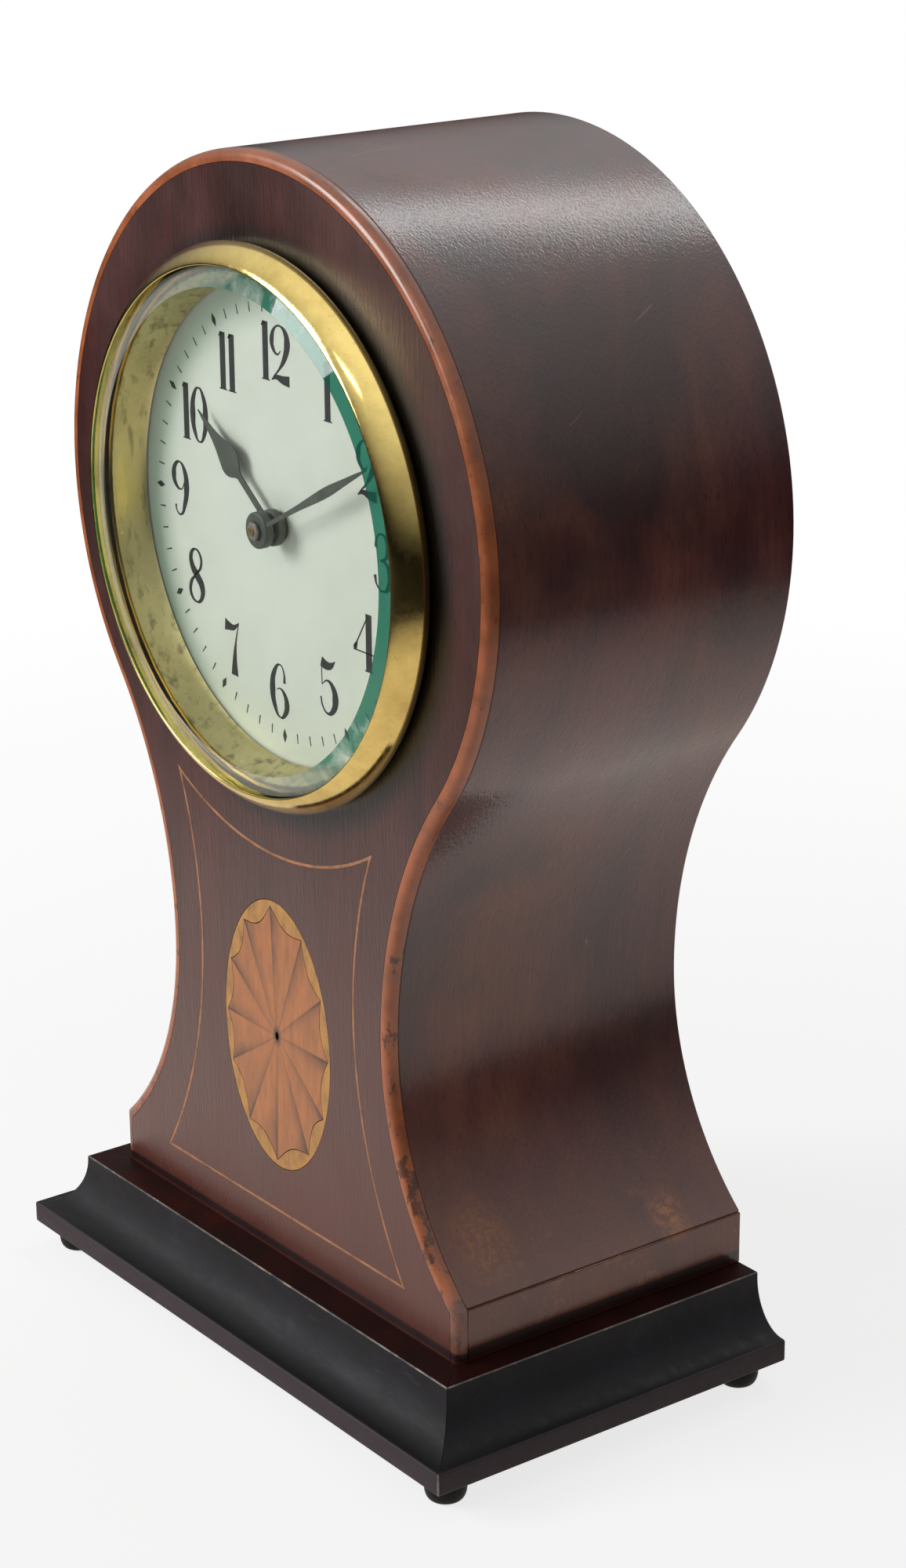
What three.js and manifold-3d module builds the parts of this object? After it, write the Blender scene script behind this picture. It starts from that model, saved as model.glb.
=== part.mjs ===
// Balloon mantel clock: a veneered case on a moulded base, with a one-day spring movement in a brass drum.
// Millimetres, +Z up. The origin is on the surface that the clock stands on, at the middle of its footprint.
import * as THREE from "three";
import { mergeVertices } from "three/addons/utils/BufferGeometryUtils.js";
import Module from "manifold-3d";

const wasm = await Module();
wasm.setup();

// Clearances
const JOINT = 0.1; // glue line between wooden pieces
const FIT = 0.3; // between metal pieces that seat on or run in each other
const INLAY_GAP = 0.12; // round an inlay in its pocket
const MESH_SLACK = 0.06; // added to the centre distance of each pair of gears

// Feet and base
const FOOT_HEIGHT = 4.8;
const FOOT_RADIUS = 6;
const FOOT_PAD = 4; // flat underside
const FOOT_INSET = 6.2; // centre of a foot from the edges of the base
const COVE_RUN = 8.3; // hollow of the base moulding, from its nose inwards
const COVE_RISE = 10.2;
const COVE_LIP = 0.7; // nose of the moulding beyond the hollow
const TOP_FILLET = 0.6; // small step above the hollow
const NOSE_BAND = 4.4; // upright band below the hollow
const MOULDING_WIDTH = 18;
const SIDE_LEDGE = 4.2; // flat top of the base beside the case
const FRONT_LEDGE = 5.3; // flat top of the base before the case

// Case outline, with heights above the top of the base
const CROWN_RADIUS = 65;
const CROWN_RISE = 1.2; // centre of the round head above the middle of the dial
const WAIST_HALF = 35.1;
const WAIST_HEIGHT = 54.2;
const PLINTH_HALF = 55;
const PLINTH_HEIGHT = 10.3;
const CASE_DEPTH = 66.2;
const FRONT_THICKNESS = 6;
const WALL_THICKNESS = 7;
const VENEER_THICKNESS = 0.9;
const EDGE_STRING = 2.2; // square stringing along the front arris
const BACK_THICKNESS = 5;
const BACK_RECESS = 8; // back board below the back edge of the case

// Inlay on the front
const INLAY_DEPTH = 0.6;
const LINE_WIDTH = 0.8;
const SHIELD_ARC_RADIUS = 60.8; // top line, about the middle of the dial
const SHIELD_WAIST_HALF = 24.6;
const SHIELD_WAIST_HEIGHT = 57;
const SHIELD_TOP_HALF = 30.6;
const SHIELD_BOTTOM_HALF = 38.5;
const SHIELD_FLOOR = 8.9;
const FAN_HALF_WIDTH = 17;
const FAN_TOP_MARGIN = 9.3; // below the shield's top line
const FAN_FLOOR_MARGIN = 9.4; // above the shield's bottom line
const FAN_RIBS = 12;
const CUSP_MARGIN = 1.2; // border at a rib's point
const SCALLOP_MARGIN = 3.8; // border midway between two ribs

// Bezel, glass, dial and drum, with depths behind the front face of the case
const DIAL_HEIGHT = 141.4;
const DRUM_RADIUS = 46.9;
const DRUM_WALL = 0.7;
const DRUM_LIP = 3;
const SIGHT_RING_WIDTH = 2.5;
const SIGHT_RING_EDGE = 0.4;
const BEZEL_WIDTH = 3.9; // beyond the drum
const BEZEL_PROUD = 7.2;
const BEZEL_ROLL = 2.2; // rounded underside of the rim, which stands clear of the front face
const BEZEL_LIP = 0.6;
const GLASS_THICKNESS = 3;
const GLASS_EDGE = 1.35;
const GLASS_BEVEL = 3.2;
const DIAL_DEPTH = 3.4;
const DIAL_THICKNESS = 0.8;
const DIAL_HOLE = 3.4;
const DIAL_FOOT_RADIUS = 0.9;
const DIAL_FOOT_MARGIN = 10; // inside the edge of the front plate
const DIAL_FOOT_BEARINGS = [60, 180, 300];

// Brackets that hold the drum
const BRACKET_LEAF = 1.2;
const BRACKET_HEIGHT = 10;
const BRACKET_FLANGE = 8.3;
const BRACKET_UPSTAND = 10;
const SCREW_SHANK = 1;
const SCREW_LENGTH = 4;
const SCREW_HEAD = 2.2;
const SCREW_HEAD_HEIGHT = 1.4;

// Plates and arbors
const PLATE_THICKNESS = 1.4;
const FRONT_PLATE_RADIUS = 40;
const PILLAR_RADIUS = 2.5;
const PILLAR_TENON = 1.3;
const PILLAR_MARGIN = 4; // inside the edge of the front plate
const PILLAR_BEARINGS = [30, 150, 270];
const PIVOT_RADIUS = 0.6;
const ARBOR_RADIUS = 1;
const THIN_ARBOR = 0.84;

// Wheels, each with the pinion that it drives and the bearing of that pinion's arbor in degrees
const GREAT = { teeth: 60, pinion: 10, module: 0.57, bearing: 225 };
const CENTRE = { teeth: 48, pinion: 6, module: 0.52, bearing: 120 };
const THIRD = { teeth: 45, pinion: 6, module: 0.48, bearing: 20 };
const FOURTH = { teeth: 48, pinion: 6, module: 0.38, bearing: -40 };
const CANNON = { teeth: 8, wheel: 24, module: 0.56, bearing: 270 };
const HOUR = { teeth: 28, pinion: 7 };
const WHEEL_TOOTH = { addendum: 0.85, dedendum: 1.15, thickness: 0.52, tip: 0.2 };
const PINION_TOOTH = { addendum: 0.6, dedendum: 1.3, thickness: 0.44, tip: 0.24 };
const WHEEL_THICKNESS = 1.2;
const PINION_LENGTH = 2.4;
const WHEEL_RIM = 1.4;
const WHEEL_HUB = 2.6;
const MOTION_GAP = 0.6; // behind the dial and between the wheels of the motion work
const TRAIN_GAP = 2; // between one wheel of the train and the next

// Barrel and winding work
const BARREL_RADIUS = 15.8;
const BARREL_WALL = 1;
const BARREL_DEPTH = 9.4;
const BARREL_ARBOR = 2.2;
const BARREL_PIVOT = 1.2;
const BARREL_TAIL = 10; // arbor behind the back plate
const SPRING_LEAF = 0.5;
const SPRING_TURNS = 5;
const RATCHET_RADIUS = 6.4;
const RATCHET_ROOT = 5.4;
const RATCHET_TEETH = 18;
const RATCHET_RAKE = 3; // degrees
const CLICK_STANDOFF = 4.4; // stud beyond the ratchet's tips
const CLICK_BEARING = 200; // stud about the barrel
const CLICK_SWEEP = 38; // beak past the stud, about the barrel
const CLICK_HALF = 2;
const CLICK_BEAK = 1.6;
const STUD_RADIUS = 1.1;
const KEY_HUB = 3.4;
const KEY_SOCKET = 9;
const KEY_STEM = 2.6;
const KEY_STEM_LENGTH = 3;
const KEY_WING = 5.2;
const KEY_WING_OFFSET = 5.8;
const KEY_WING_THICKNESS = 1.8;

// Escapement
const ESCAPE_TEETH = 15;
const ESCAPE_RADIUS = 5.5;
const ESCAPE_ROOT = 3.85;
const ESCAPE_THICKNESS = 0.9;
const ESCAPE_TOOTH = { tip: 8, heel: 11 }; // degrees past the root
const PALLET_CLEARANCE = 0.6;
const PALLET_STANDOFF = 1.83; // pallet arbor beyond the escape wheel's tips
const PALLET_BEARING = -46;
const PALLET_SPREAD = 66;
const PALLET_HALF = 0.5;
const PALLET_REACH = 2.5;
const FORK_HALF = 0.6;
const FORK_CLEARANCE = 2.4; // fork's end from the balance's axis
const BALANCE_DISTANCE = 11.4; // from the pallet arbor
const BALANCE_BEARING = -75;
const BALANCE_RADIUS = 10;
const BALANCE_RIM = 1.6;
const BALANCE_SPOKE = 1.4;
const BALANCE_SPOKE_INSET = 0.3;
const SPOKE_BEARINGS = [20, 110];
const ROLLER_RADIUS = 1.8;
const ROLLER_THICKNESS = 1;
const HAIR_TURNS = 4;
const HAIR_REACH = 5.2;
const HAIR_LEAF = 0.25;
const HAIR_WIDTH = 0.8;
const HAIR_STUD = 1.6;
const REGULATOR_SEAT = 2.4;
const REGULATOR_SEAT_HEIGHT = 1.4;
const REGULATOR_COLLAR = 1.6;
const REGULATOR_THICKNESS = 0.8;
const REGULATOR_LENGTH = 11;
const REGULATOR_WIDTH = 1.8;
const REGULATOR_TIP = 0.7;

// Hands and setting knob
const MINUTES_SHOWN = 10.4;
const HOURS_SHOWN = 10;
const MINUTE_HAND = { length: 37.5, width: 3, leafStart: 11.2, leafMiddle: 21.8 };
const HOUR_HAND = { length: 28, width: 5.4, leafStart: 10, leafMiddle: 16.8 };
const HAND_THICKNESS = 0.5;
const HAND_TIP = 0.25;
const HAND_SHANK = 1 / 3; // share of the leaf's width
const HAND_LEAF = [[-0.4, 0.72], [0, 1], [0.4, 0.8], [1, 0.4]]; // [height, half width] about the widest place
const HOUR_HAND_STANDOFF = 0.4; // back of the boss before the dial
const HOUR_BOSS = 3.2;
const HOUR_BOSS_LENGTH = 2;
const MINUTE_BOSS = 2.9;
const MINUTE_BOSS_LENGTH = 2.2;
const BOSS_GAP = 0.6; // between the two bosses
const ARBOR_NOSE = 0.75; // centre arbor inside the cannon pinion
const CANNON_PIPE = 1.5;
const HOUR_PIPE = 2.2;
const MINUTE_STUD = 0.55;
const HAND_NUT = 1.8;
const HAND_NUT_LENGTH = 0.7;
const ARBOR_TAIL = 9; // centre arbor behind the back plate
const KNOB_STANDOFF = 3;
const KNOB_LENGTH = 6;
const KNOB_RADIUS = 5;
const KNOB_NECK = 2.5;
const KNOB_CHAMFER = 0.8;
const KNOB_NECK_LENGTH = 2;

// Back door
const BACK_HOLE = 42;
const RING_LAP = 1; // ring inside the hole's edge
const RING_WIDTH = 6;
const DOOR_MARGIN = 2.5; // ring outside the door's edge
const SHEET = 1.1; // thickness of the door and its ring
const DOOR_FLANGE = 5;
const DOOR_DOME = 0.9;
const KNUCKLE_RADIUS = 1.5;
const KNUCKLE_LENGTH = 5;
const HINGE_PIN = 0.6;
const HINGE_OFFSET = 0.6; // hinge axis beyond the ring
const HINGE_TAB = 3.4;
const DOOR_KNOB_INSET = 9;
const DOOR_KNOB_RADIUS = 2.6;
const DOOR_KNOB_NECK = 1.2;
const DOOR_KNOB_REACH = 4.2;
const DOOR_KNOB_STEM = 1.4;

// Facets
const ROUND = 40;
const MEDIUM = 14;
const SMALL = 8;
const SPRING_STEPS = 14; // to each turn of a spiral spring
const ARC_STEPS = 7;
const ROLL_STEPS = 3;
const HEAD_STEPS = 24;
const SHIELD_STEPS = 6;
const SCALLOP_STEPS = 4;

// Values that follow from the sizes above
const BASE_HEIGHT = COVE_RISE + TOP_FILLET + NOSE_BAND;
const BASE_TOP = FOOT_HEIGHT + BASE_HEIGHT;
const MOULDING_REACH = COVE_RUN + COVE_LIP;
const BASE_HALF = PLINTH_HALF + SIDE_LEDGE + MOULDING_REACH;
const BASE_FRONT = FRONT_LEDGE + MOULDING_REACH; // before the front face of the case
const FRONT_FACE = (BASE_FRONT - CASE_DEPTH) / 2; // world Y
const CROWN_HEIGHT = DIAL_HEIGHT + CROWN_RISE;
const FAN_TOP = DIAL_HEIGHT - SHIELD_ARC_RADIUS - FAN_TOP_MARGIN;
const FAN_FLOOR = SHIELD_FLOOR + FAN_FLOOR_MARGIN;
const FAN_HALF_HEIGHT = (FAN_TOP - FAN_FLOOR) / 2;
const FAN_HEIGHT = (FAN_TOP + FAN_FLOOR) / 2; // middle of the oval
const CARCASS_INSET = VENEER_THICKNESS + JOINT;
const INNER_INSET = CARCASS_INSET + WALL_THICKNESS;
const DRUM_BORE = DRUM_RADIUS - DRUM_WALL;
const DRUM_HOLE = DRUM_RADIUS + FIT;
const BEZEL_RADIUS = DRUM_RADIUS + BEZEL_WIDTH;
const BRACKET_SCREW = DRUM_HOLE + (BRACKET_FLANGE + BRACKET_LEAF) / 2; // from the middle of the dial
const GLASS_FRONT = BEZEL_PROUD - BEZEL_LIP - FIT;
const GLASS_BACK = GLASS_FRONT - GLASS_THICKNESS;
const DIAL_BACK = DIAL_DEPTH + DIAL_THICKNESS;
const HOUR_WHEEL_DEPTH = DIAL_BACK + MOTION_GAP;
const MINUTE_WHEEL_DEPTH = HOUR_WHEEL_DEPTH + WHEEL_THICKNESS + MOTION_GAP;
const FRONT_PLATE_DEPTH = MINUTE_WHEEL_DEPTH + WHEEL_THICKNESS + 2 * MOTION_GAP;
const FRONT_PLATE_BACK = FRONT_PLATE_DEPTH + PLATE_THICKNESS;
const PILLAR_CIRCLE = FRONT_PLATE_RADIUS - PILLAR_MARGIN;
const DIAL_FOOT_CIRCLE = FRONT_PLATE_RADIUS - DIAL_FOOT_MARGIN;
const BACK_FACE = CASE_DEPTH - BACK_RECESS;
const RING_RADIUS = BACK_HOLE - RING_LAP + RING_WIDTH;
const RING_BACK = BACK_FACE + SHEET;
const DOOR_RADIUS = RING_RADIUS - DOOR_MARGIN;
const DOOR_FRONT = RING_BACK + FIT;
const DOOR_BACK = DOOR_FRONT + SHEET;

// Levels of the train behind the front plate's inner face
const GREAT_LEVEL = 1;
const BARREL_FLOOR = GREAT_LEVEL + WHEEL_THICKNESS;
const BARREL_BACK = GREAT_LEVEL + BARREL_DEPTH;
const CAP_BACK = BARREL_BACK + JOINT + BARREL_WALL;
const CENTRE_LEVEL = CAP_BACK + TRAIN_GAP;
const PLATE_GAP = CENTRE_LEVEL + WHEEL_THICKNESS + TRAIN_GAP;
const ESCAPE_LEVEL = 2 * TRAIN_GAP;
const THIRD_LEVEL = ESCAPE_LEVEL + ESCAPE_THICKNESS + TRAIN_GAP;
const FOURTH_LEVEL = THIRD_LEVEL + WHEEL_THICKNESS + TRAIN_GAP;
const ROLLER_LEVEL = ESCAPE_LEVEL + ESCAPE_THICKNESS + FIT;
const BALANCE_LEVEL = ROLLER_LEVEL + ROLLER_THICKNESS + TRAIN_GAP;
const HAIR_LEVEL = BALANCE_LEVEL + BALANCE_RIM + TRAIN_GAP;
const BACK_PLATE_DEPTH = FRONT_PLATE_BACK + PLATE_GAP;
const BACK_PLATE_BACK = BACK_PLATE_DEPTH + PLATE_THICKNESS;
const DRUM_BACK = BACK_PLATE_BACK + FIT + DRUM_WALL;
const RATCHET_DEPTH = BACK_PLATE_BACK + FIT;
const KEY_DEPTH = RATCHET_DEPTH + WHEEL_THICKNESS + FIT;

// Drawing helpers

const radians = THREE.MathUtils.degToRad;
const degrees = THREE.MathUtils.radToDeg;
const point = (x, y) => new THREE.Vector2(x, y);
const origin = point(0, 0);
const polar = (radius, bearing) => point(radius, 0).rotateAround(origin, radians(bearing));
const mirrored = (points) => points.map((p) => point(-p.x, p.y)).reverse();
const band = (outer, inner) => [...outer, ...[...inner].reverse()];

// Points along a circular arc between two angles in radians, both ends included.
function arc(centre, radius, from, to, steps) {
  const points = [];
  for (let i = 0; i <= steps; i++) {
    const angle = from + ((to - from) * i) / steps;
    points.push(point(centre.x + radius * Math.cos(angle), centre.y + radius * Math.sin(angle)));
  }
  return points;
}

const circle = (radius, steps, centre = origin) => arc(centre, radius, 0, 2 * Math.PI, steps).slice(0, -1);

// A flat piece drawn as seen from the front, from a back level to a front level.
function slab(points, back, front, holes = []) {
  const shape = new THREE.Shape(points);
  shape.holes = holes.map((hole) => new THREE.Path(hole));
  const depth = front - back;
  return new THREE.ExtrudeGeometry(shape, { depth, bevelEnabled: false }).translate(0, 0, back);
}

// A turned piece about the axis that points to the viewer. Each profile point is [radius, level].
function turned(profile, steps = MEDIUM) {
  let area = 0;
  profile.forEach(([r, z], i) => {
    const [nextR, nextZ] = profile[(i + 1) % profile.length];
    area += r * nextZ - nextR * z;
  });
  const ordered = area > 0 ? profile : [...profile].reverse();
  const closed = ordered[0][0] > 0 ? [...ordered, ordered[0]] : ordered;
  const points = closed.map(([r, z]) => point(r, z));
  return new THREE.LatheGeometry(points, steps).rotateX(Math.PI / 2);
}

const rod = (radius, back, front, steps = SMALL) =>
  turned([[0, back], [radius, back], [radius, front], [0, front]], steps);
const tube = (inner, outer, back, front, steps = SMALL) =>
  turned([[inner, back], [outer, back], [outer, front], [inner, front]], steps);
const movedTo = (geometry, place) => geometry.translate(place.x, place.y, 0);

function box(low, high) {
  const size = high.map((value, k) => value - low[k]);
  const middle = high.map((value, k) => (value + low[k]) / 2);
  return new THREE.BoxGeometry(...size).translate(...middle);
}

// Joining and cutting

function solid(geometry) {
  const bare = new THREE.BufferGeometry().setAttribute("position", geometry.getAttribute("position"));
  if (geometry.index) bare.setIndex(geometry.index);
  const merged = mergeVertices(bare);
  const triVerts = [];
  for (let i = 0; i < merged.index.count; i += 3) {
    const [a, b, c] = [0, 1, 2].map((k) => merged.index.getX(i + k));
    if (a !== b && b !== c && c !== a) triVerts.push(a, b, c);
  }
  const vertProperties = merged.getAttribute("position").array;
  const mesh = new wasm.Mesh({ numProp: 3, vertProperties, triVerts: new Uint32Array(triVerts) });
  return new wasm.Manifold(mesh);
}

function geometryOf(manifold) {
  const mesh = manifold.getMesh();
  const geometry = new THREE.BufferGeometry();
  geometry.setAttribute("position", new THREE.BufferAttribute(new Float32Array(mesh.vertProperties), 3));
  geometry.setIndex(new THREE.BufferAttribute(new Uint32Array(mesh.triVerts), 1));
  geometry.computeVertexNormals();
  return geometry;
}

const join = (first, ...rest) => geometryOf(rest.reduce((sum, piece) => sum.add(solid(piece)), solid(first)));
const cut = (first, ...tools) =>
  geometryOf(tools.reduce((left, tool) => left.subtract(solid(tool)), solid(first)));

// Finishes

const finish = (color, roughness, metalness = 0) =>
  new THREE.MeshStandardMaterial({ color, roughness, metalness });
const mahogany = finish(0x4a2620, 0.35);
const ebonised = finish(0x1c1a1b, 0.3);
const boxwood = finish(0xa65a2a, 0.4);
const satinwood = finish(0xb98345, 0.4);
const pine = finish(0xb48a5a, 0.7);
const brass = finish(0xc39a3e, 0.25, 1);
const steel = finish(0x8b8d90, 0.3, 1);
const blackened = finish(0x24231f, 0.45, 0.6);
const enamel = finish(0xdfe3de, 0.2);
const plateGlass = finish(0xcfe8e0, 0.05);

// Groups: the stand has +Z up; the upright case and movement are drawn with +Y up and +Z to the viewer

const clock = new THREE.Group();
const stand = new THREE.Group();
const upright = new THREE.Group();
upright.position.set(0, FRONT_FACE, BASE_TOP);
upright.rotation.x = Math.PI / 2;
const movement = new THREE.Group();
movement.position.set(0, DIAL_HEIGHT, 0);
upright.add(movement);
clock.add(stand, upright);

function part(group, name, geometry, material, place = origin) {
  const mesh = new THREE.Mesh(geometry, material.clone());
  mesh.name = name;
  mesh.position.set(place.x, place.y, 0);
  group.add(mesh);
  return mesh;
}

const SIDES = [["left", -1], ["right", 1]];

// Base: three mitred mouldings round a board, on four turned feet

// Section of the moulding: distance out from its nose, negative inwards, and height above its underside.
function mouldingSection() {
  const hollow = arc(origin, 1, 1.5 * Math.PI, Math.PI, ARC_STEPS).map((p) =>
    point(-COVE_LIP + COVE_RUN * p.x, NOSE_BAND + COVE_RISE * (1 + p.y)));
  const ease = COVE_LIP / 2;
  return [
    point(-MOULDING_WIDTH, 0), point(-ease, 0), point(0, ease), point(0, NOSE_BAND - ease),
    ...hollow, point(-MOULDING_REACH, BASE_HEIGHT), point(-MOULDING_WIDTH, BASE_HEIGHT),
  ];
}

// The section swept between two ends. Each end gives the ground position for a distance out.
function moulding(startAt, endAt) {
  const geometry = slab(mouldingSection(), 0, 1);
  const positions = geometry.getAttribute("position");
  for (let i = 0; i < positions.count; i++) {
    const ground = startAt(positions.getX(i)).lerp(endAt(positions.getX(i)), positions.getZ(i));
    positions.setXYZ(i, ground.x, ground.y, FOOT_HEIGHT + positions.getY(i));
  }
  return geometry;
}

function makeBase() {
  const front = FRONT_FACE - BASE_FRONT;
  const back = FRONT_FACE + CASE_DEPTH;
  const frontMitre = (sign) => (out) => point(sign * (BASE_HALF + out - JOINT), front - out);
  const sideMitre = (sign) => (out) => point(sign * (BASE_HALF + out), front - out + JOINT);
  const squareEnd = (sign) => (out) => point(sign * (BASE_HALF + out), back);
  part(stand, "base_moulding_front", moulding(frontMitre(1), frontMitre(-1)), ebonised);
  part(stand, "base_moulding_right", moulding(squareEnd(1), sideMitre(1)), ebonised);
  part(stand, "base_moulding_left", moulding(sideMitre(-1), squareEnd(-1)), ebonised);
  const half = BASE_HALF - MOULDING_WIDTH - JOINT;
  const boardFront = front + MOULDING_WIDTH + JOINT;
  part(stand, "base_board", box([-half, boardFront, FOOT_HEIGHT], [half, back, BASE_TOP]), pine);

  const bun = arc(origin, 1, -Math.PI / 2, Math.PI / 2, ARC_STEPS - 1).map((p) => [
    FOOT_PAD + (FOOT_RADIUS - FOOT_PAD) * p.x, (FOOT_HEIGHT * (1 + p.y)) / 2,
  ]);
  for (const [row, y] of [["front", front + FOOT_INSET], ["back", back - FOOT_INSET]]) {
    for (const [side, sign] of SIDES) {
      const foot = turned([[0, 0], ...bun, [0, FOOT_HEIGHT]]);
      part(stand, `foot_${row}_${side}`, foot, ebonised, point(sign * (BASE_HALF - FOOT_INSET), y));
    }
  }
}

// Case outline: round head, hollow waist and straight plinth, each moved inwards by an inset

const WAIST_RISE = CROWN_HEIGHT - WAIST_HEIGHT;
const SHOULDER_OUT = CROWN_RADIUS - WAIST_HALF;
const SHOULDER_RADIUS = (WAIST_HALF ** 2 + WAIST_RISE ** 2 - CROWN_RADIUS ** 2) / (2 * SHOULDER_OUT);
const bowRadius = (out, rise) => (out ** 2 + rise ** 2) / (2 * out); // of an arc that starts upright
const FLARE_RADIUS = bowRadius(PLINTH_HALF - WAIST_HALF, WAIST_HEIGHT - PLINTH_HEIGHT);
const SHOULDER_CENTRE = point(WAIST_HALF + SHOULDER_RADIUS, WAIST_HEIGHT);
const FLARE_CENTRE = point(WAIST_HALF + FLARE_RADIUS, WAIST_HEIGHT);
const CROWN_CENTRE = point(0, CROWN_HEIGHT);

// Right-hand edge of the case, from a height on the flare up to the middle of the head.
function cheekEdge(inset, startHeight) {
  const flare = FLARE_RADIUS + inset;
  const bottom = Math.PI + Math.asin((WAIST_HEIGHT - startHeight) / flare);
  const lean = SHOULDER_CENTRE.clone().sub(CROWN_CENTRE).angle();
  const lower = arc(FLARE_CENTRE, flare, bottom, Math.PI, ARC_STEPS);
  const middle = arc(SHOULDER_CENTRE, SHOULDER_RADIUS + inset, Math.PI, lean - Math.PI, ARC_STEPS);
  const upper = arc(CROWN_CENTRE, CROWN_RADIUS - inset, lean - 2 * Math.PI, 0, ARC_STEPS);
  return [...lower, ...middle.slice(1), ...upper.slice(1)];
}

const headEdge = (inset) => arc(CROWN_CENTRE, CROWN_RADIUS - inset, 0, Math.PI, HEAD_STEPS);

// The edge from the foot of the right cheek over the head to the foot of the left cheek.
function caseEdge(inset, startHeight) {
  const right = cheekEdge(inset, startHeight);
  return [...right, ...headEdge(inset).slice(1, -1), ...mirrored(right)];
}

// The same edge down to the base: below the flare the plinth is upright.
function frontEdge(inset) {
  const edge = PLINTH_HALF - inset;
  const across = FLARE_CENTRE.x - edge;
  const meeting = WAIST_HEIGHT - Math.sqrt((FLARE_RADIUS + inset) ** 2 - across ** 2);
  return [point(edge, 0), ...caseEdge(inset, meeting), point(-edge, 0)];
}

// Shield line and oval fan

const SHIELD_TOP_CENTRE = point(0, DIAL_HEIGHT);
const SHIELD_DROP = Math.sqrt(SHIELD_ARC_RADIUS ** 2 - SHIELD_TOP_HALF ** 2); // top corners below the dial
const SHIELD_RISE = DIAL_HEIGHT - SHIELD_DROP - SHIELD_WAIST_HEIGHT;
const SHIELD_UPPER = bowRadius(SHIELD_TOP_HALF - SHIELD_WAIST_HALF, SHIELD_RISE);
const SHIELD_LOWER = bowRadius(SHIELD_BOTTOM_HALF - SHIELD_WAIST_HALF, SHIELD_WAIST_HEIGHT - SHIELD_FLOOR);
const SHIELD_UPPER_CENTRE = point(SHIELD_WAIST_HALF + SHIELD_UPPER, SHIELD_WAIST_HEIGHT);
const SHIELD_LOWER_CENTRE = point(SHIELD_WAIST_HALF + SHIELD_LOWER, SHIELD_WAIST_HEIGHT);

// Top right corner of the shield, where a circle about the dial meets one about the upper side's centre.
function shieldCorner(top, side) {
  const across = SHIELD_UPPER_CENTRE.clone().sub(SHIELD_TOP_CENTRE);
  const distance = across.length();
  const along = (top ** 2 - side ** 2 + distance ** 2) / (2 * distance);
  const turn = Math.acos(along / top);
  return SHIELD_TOP_CENTRE.clone().add(point(top, 0).rotateAround(origin, across.angle() - turn));
}

// The shield-shaped line, moved inwards by an inset.
function shieldLoop(inset) {
  const top = SHIELD_ARC_RADIUS + inset;
  const lowAngle = Math.PI + Math.asin((SHIELD_WAIST_HEIGHT - SHIELD_FLOOR - inset) / (SHIELD_LOWER + inset));
  const corner = shieldCorner(top, SHIELD_UPPER + inset);
  const highAngle = corner.clone().sub(SHIELD_UPPER_CENTRE).angle();
  const lower = arc(SHIELD_LOWER_CENTRE, SHIELD_LOWER + inset, lowAngle, Math.PI, SHIELD_STEPS);
  const upper = arc(SHIELD_UPPER_CENTRE, SHIELD_UPPER + inset, Math.PI, highAngle, SHIELD_STEPS);
  const right = [...lower, ...upper.slice(1)];
  const start = corner.clone().sub(SHIELD_TOP_CENTRE).angle();
  const brow = arc(SHIELD_TOP_CENTRE, top, start, 3 * Math.PI - start, 2 * SHIELD_STEPS);
  return [...right, ...brow.slice(1, -1), ...mirrored(right)];
}

const ovalPoint = (p, margin) =>
  point(p.x * (FAN_HALF_WIDTH - margin), FAN_HEIGHT + p.y * (FAN_HALF_HEIGHT - margin));
const oval = (margin) => circle(1, ROUND).map((p) => ovalPoint(p, margin));

// Edge of the fan: ribs that end in points, with a scallop between each two.
function fanEdge(shrink) {
  return circle(1, FAN_RIBS * SCALLOP_STEPS).map((p, i) => {
    const between = (i % SCALLOP_STEPS) / SCALLOP_STEPS;
    const dip = 1 - (2 * between - 1) ** 2;
    return ovalPoint(p, CUSP_MARGIN + (SCALLOP_MARGIN - CUSP_MARGIN) * dip + shrink);
  });
}

// Case: front board with its stringing and inlay, plinth, carcass, veneer and back board

function makeFront() {
  const rebate = EDGE_STRING + JOINT;
  const hole = circle(DRUM_HOLE, ROUND, point(0, DIAL_HEIGHT));
  const face = slab(frontEdge(rebate), -rebate, 0, [hole]);
  const body = slab(frontEdge(CARCASS_INSET), -FRONT_THICKNESS, -rebate, [hole]);
  const half = LINE_WIDTH / 2;
  const floor = -INLAY_DEPTH - INLAY_GAP;
  const above = INLAY_DEPTH;
  const groove = slab(shieldLoop(-half - INLAY_GAP), floor, above, [shieldLoop(half + INLAY_GAP)]);
  const pocket = slab(oval(-INLAY_GAP), floor, above);
  const screwHole = (sign) => movedTo(
    rod(SCREW_SHANK + FIT, -FRONT_THICKNESS - JOINT, -FRONT_THICKNESS + SCREW_LENGTH),
    point(sign * BRACKET_SCREW, DIAL_HEIGHT));
  const board = cut(join(face, body), groove, pocket, screwHole(1), screwHole(-1));
  part(upright, "front_board", board, mahogany);

  const string = slab(band(frontEdge(0), frontEdge(EDGE_STRING)), -EDGE_STRING, 0);
  part(upright, "edge_stringing", string, boxwood);
  const line = slab(shieldLoop(-half), -INLAY_DEPTH, 0, [shieldLoop(half)]);
  part(upright, "shield_stringing", line, boxwood);
  part(upright, "fan_inlay", slab(fanEdge(INLAY_GAP), -INLAY_DEPTH, 0), boxwood);
  part(upright, "fan_inlay_border", slab(oval(0), -INLAY_DEPTH, 0, [fanEdge(0)]), satinwood);
}

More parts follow.
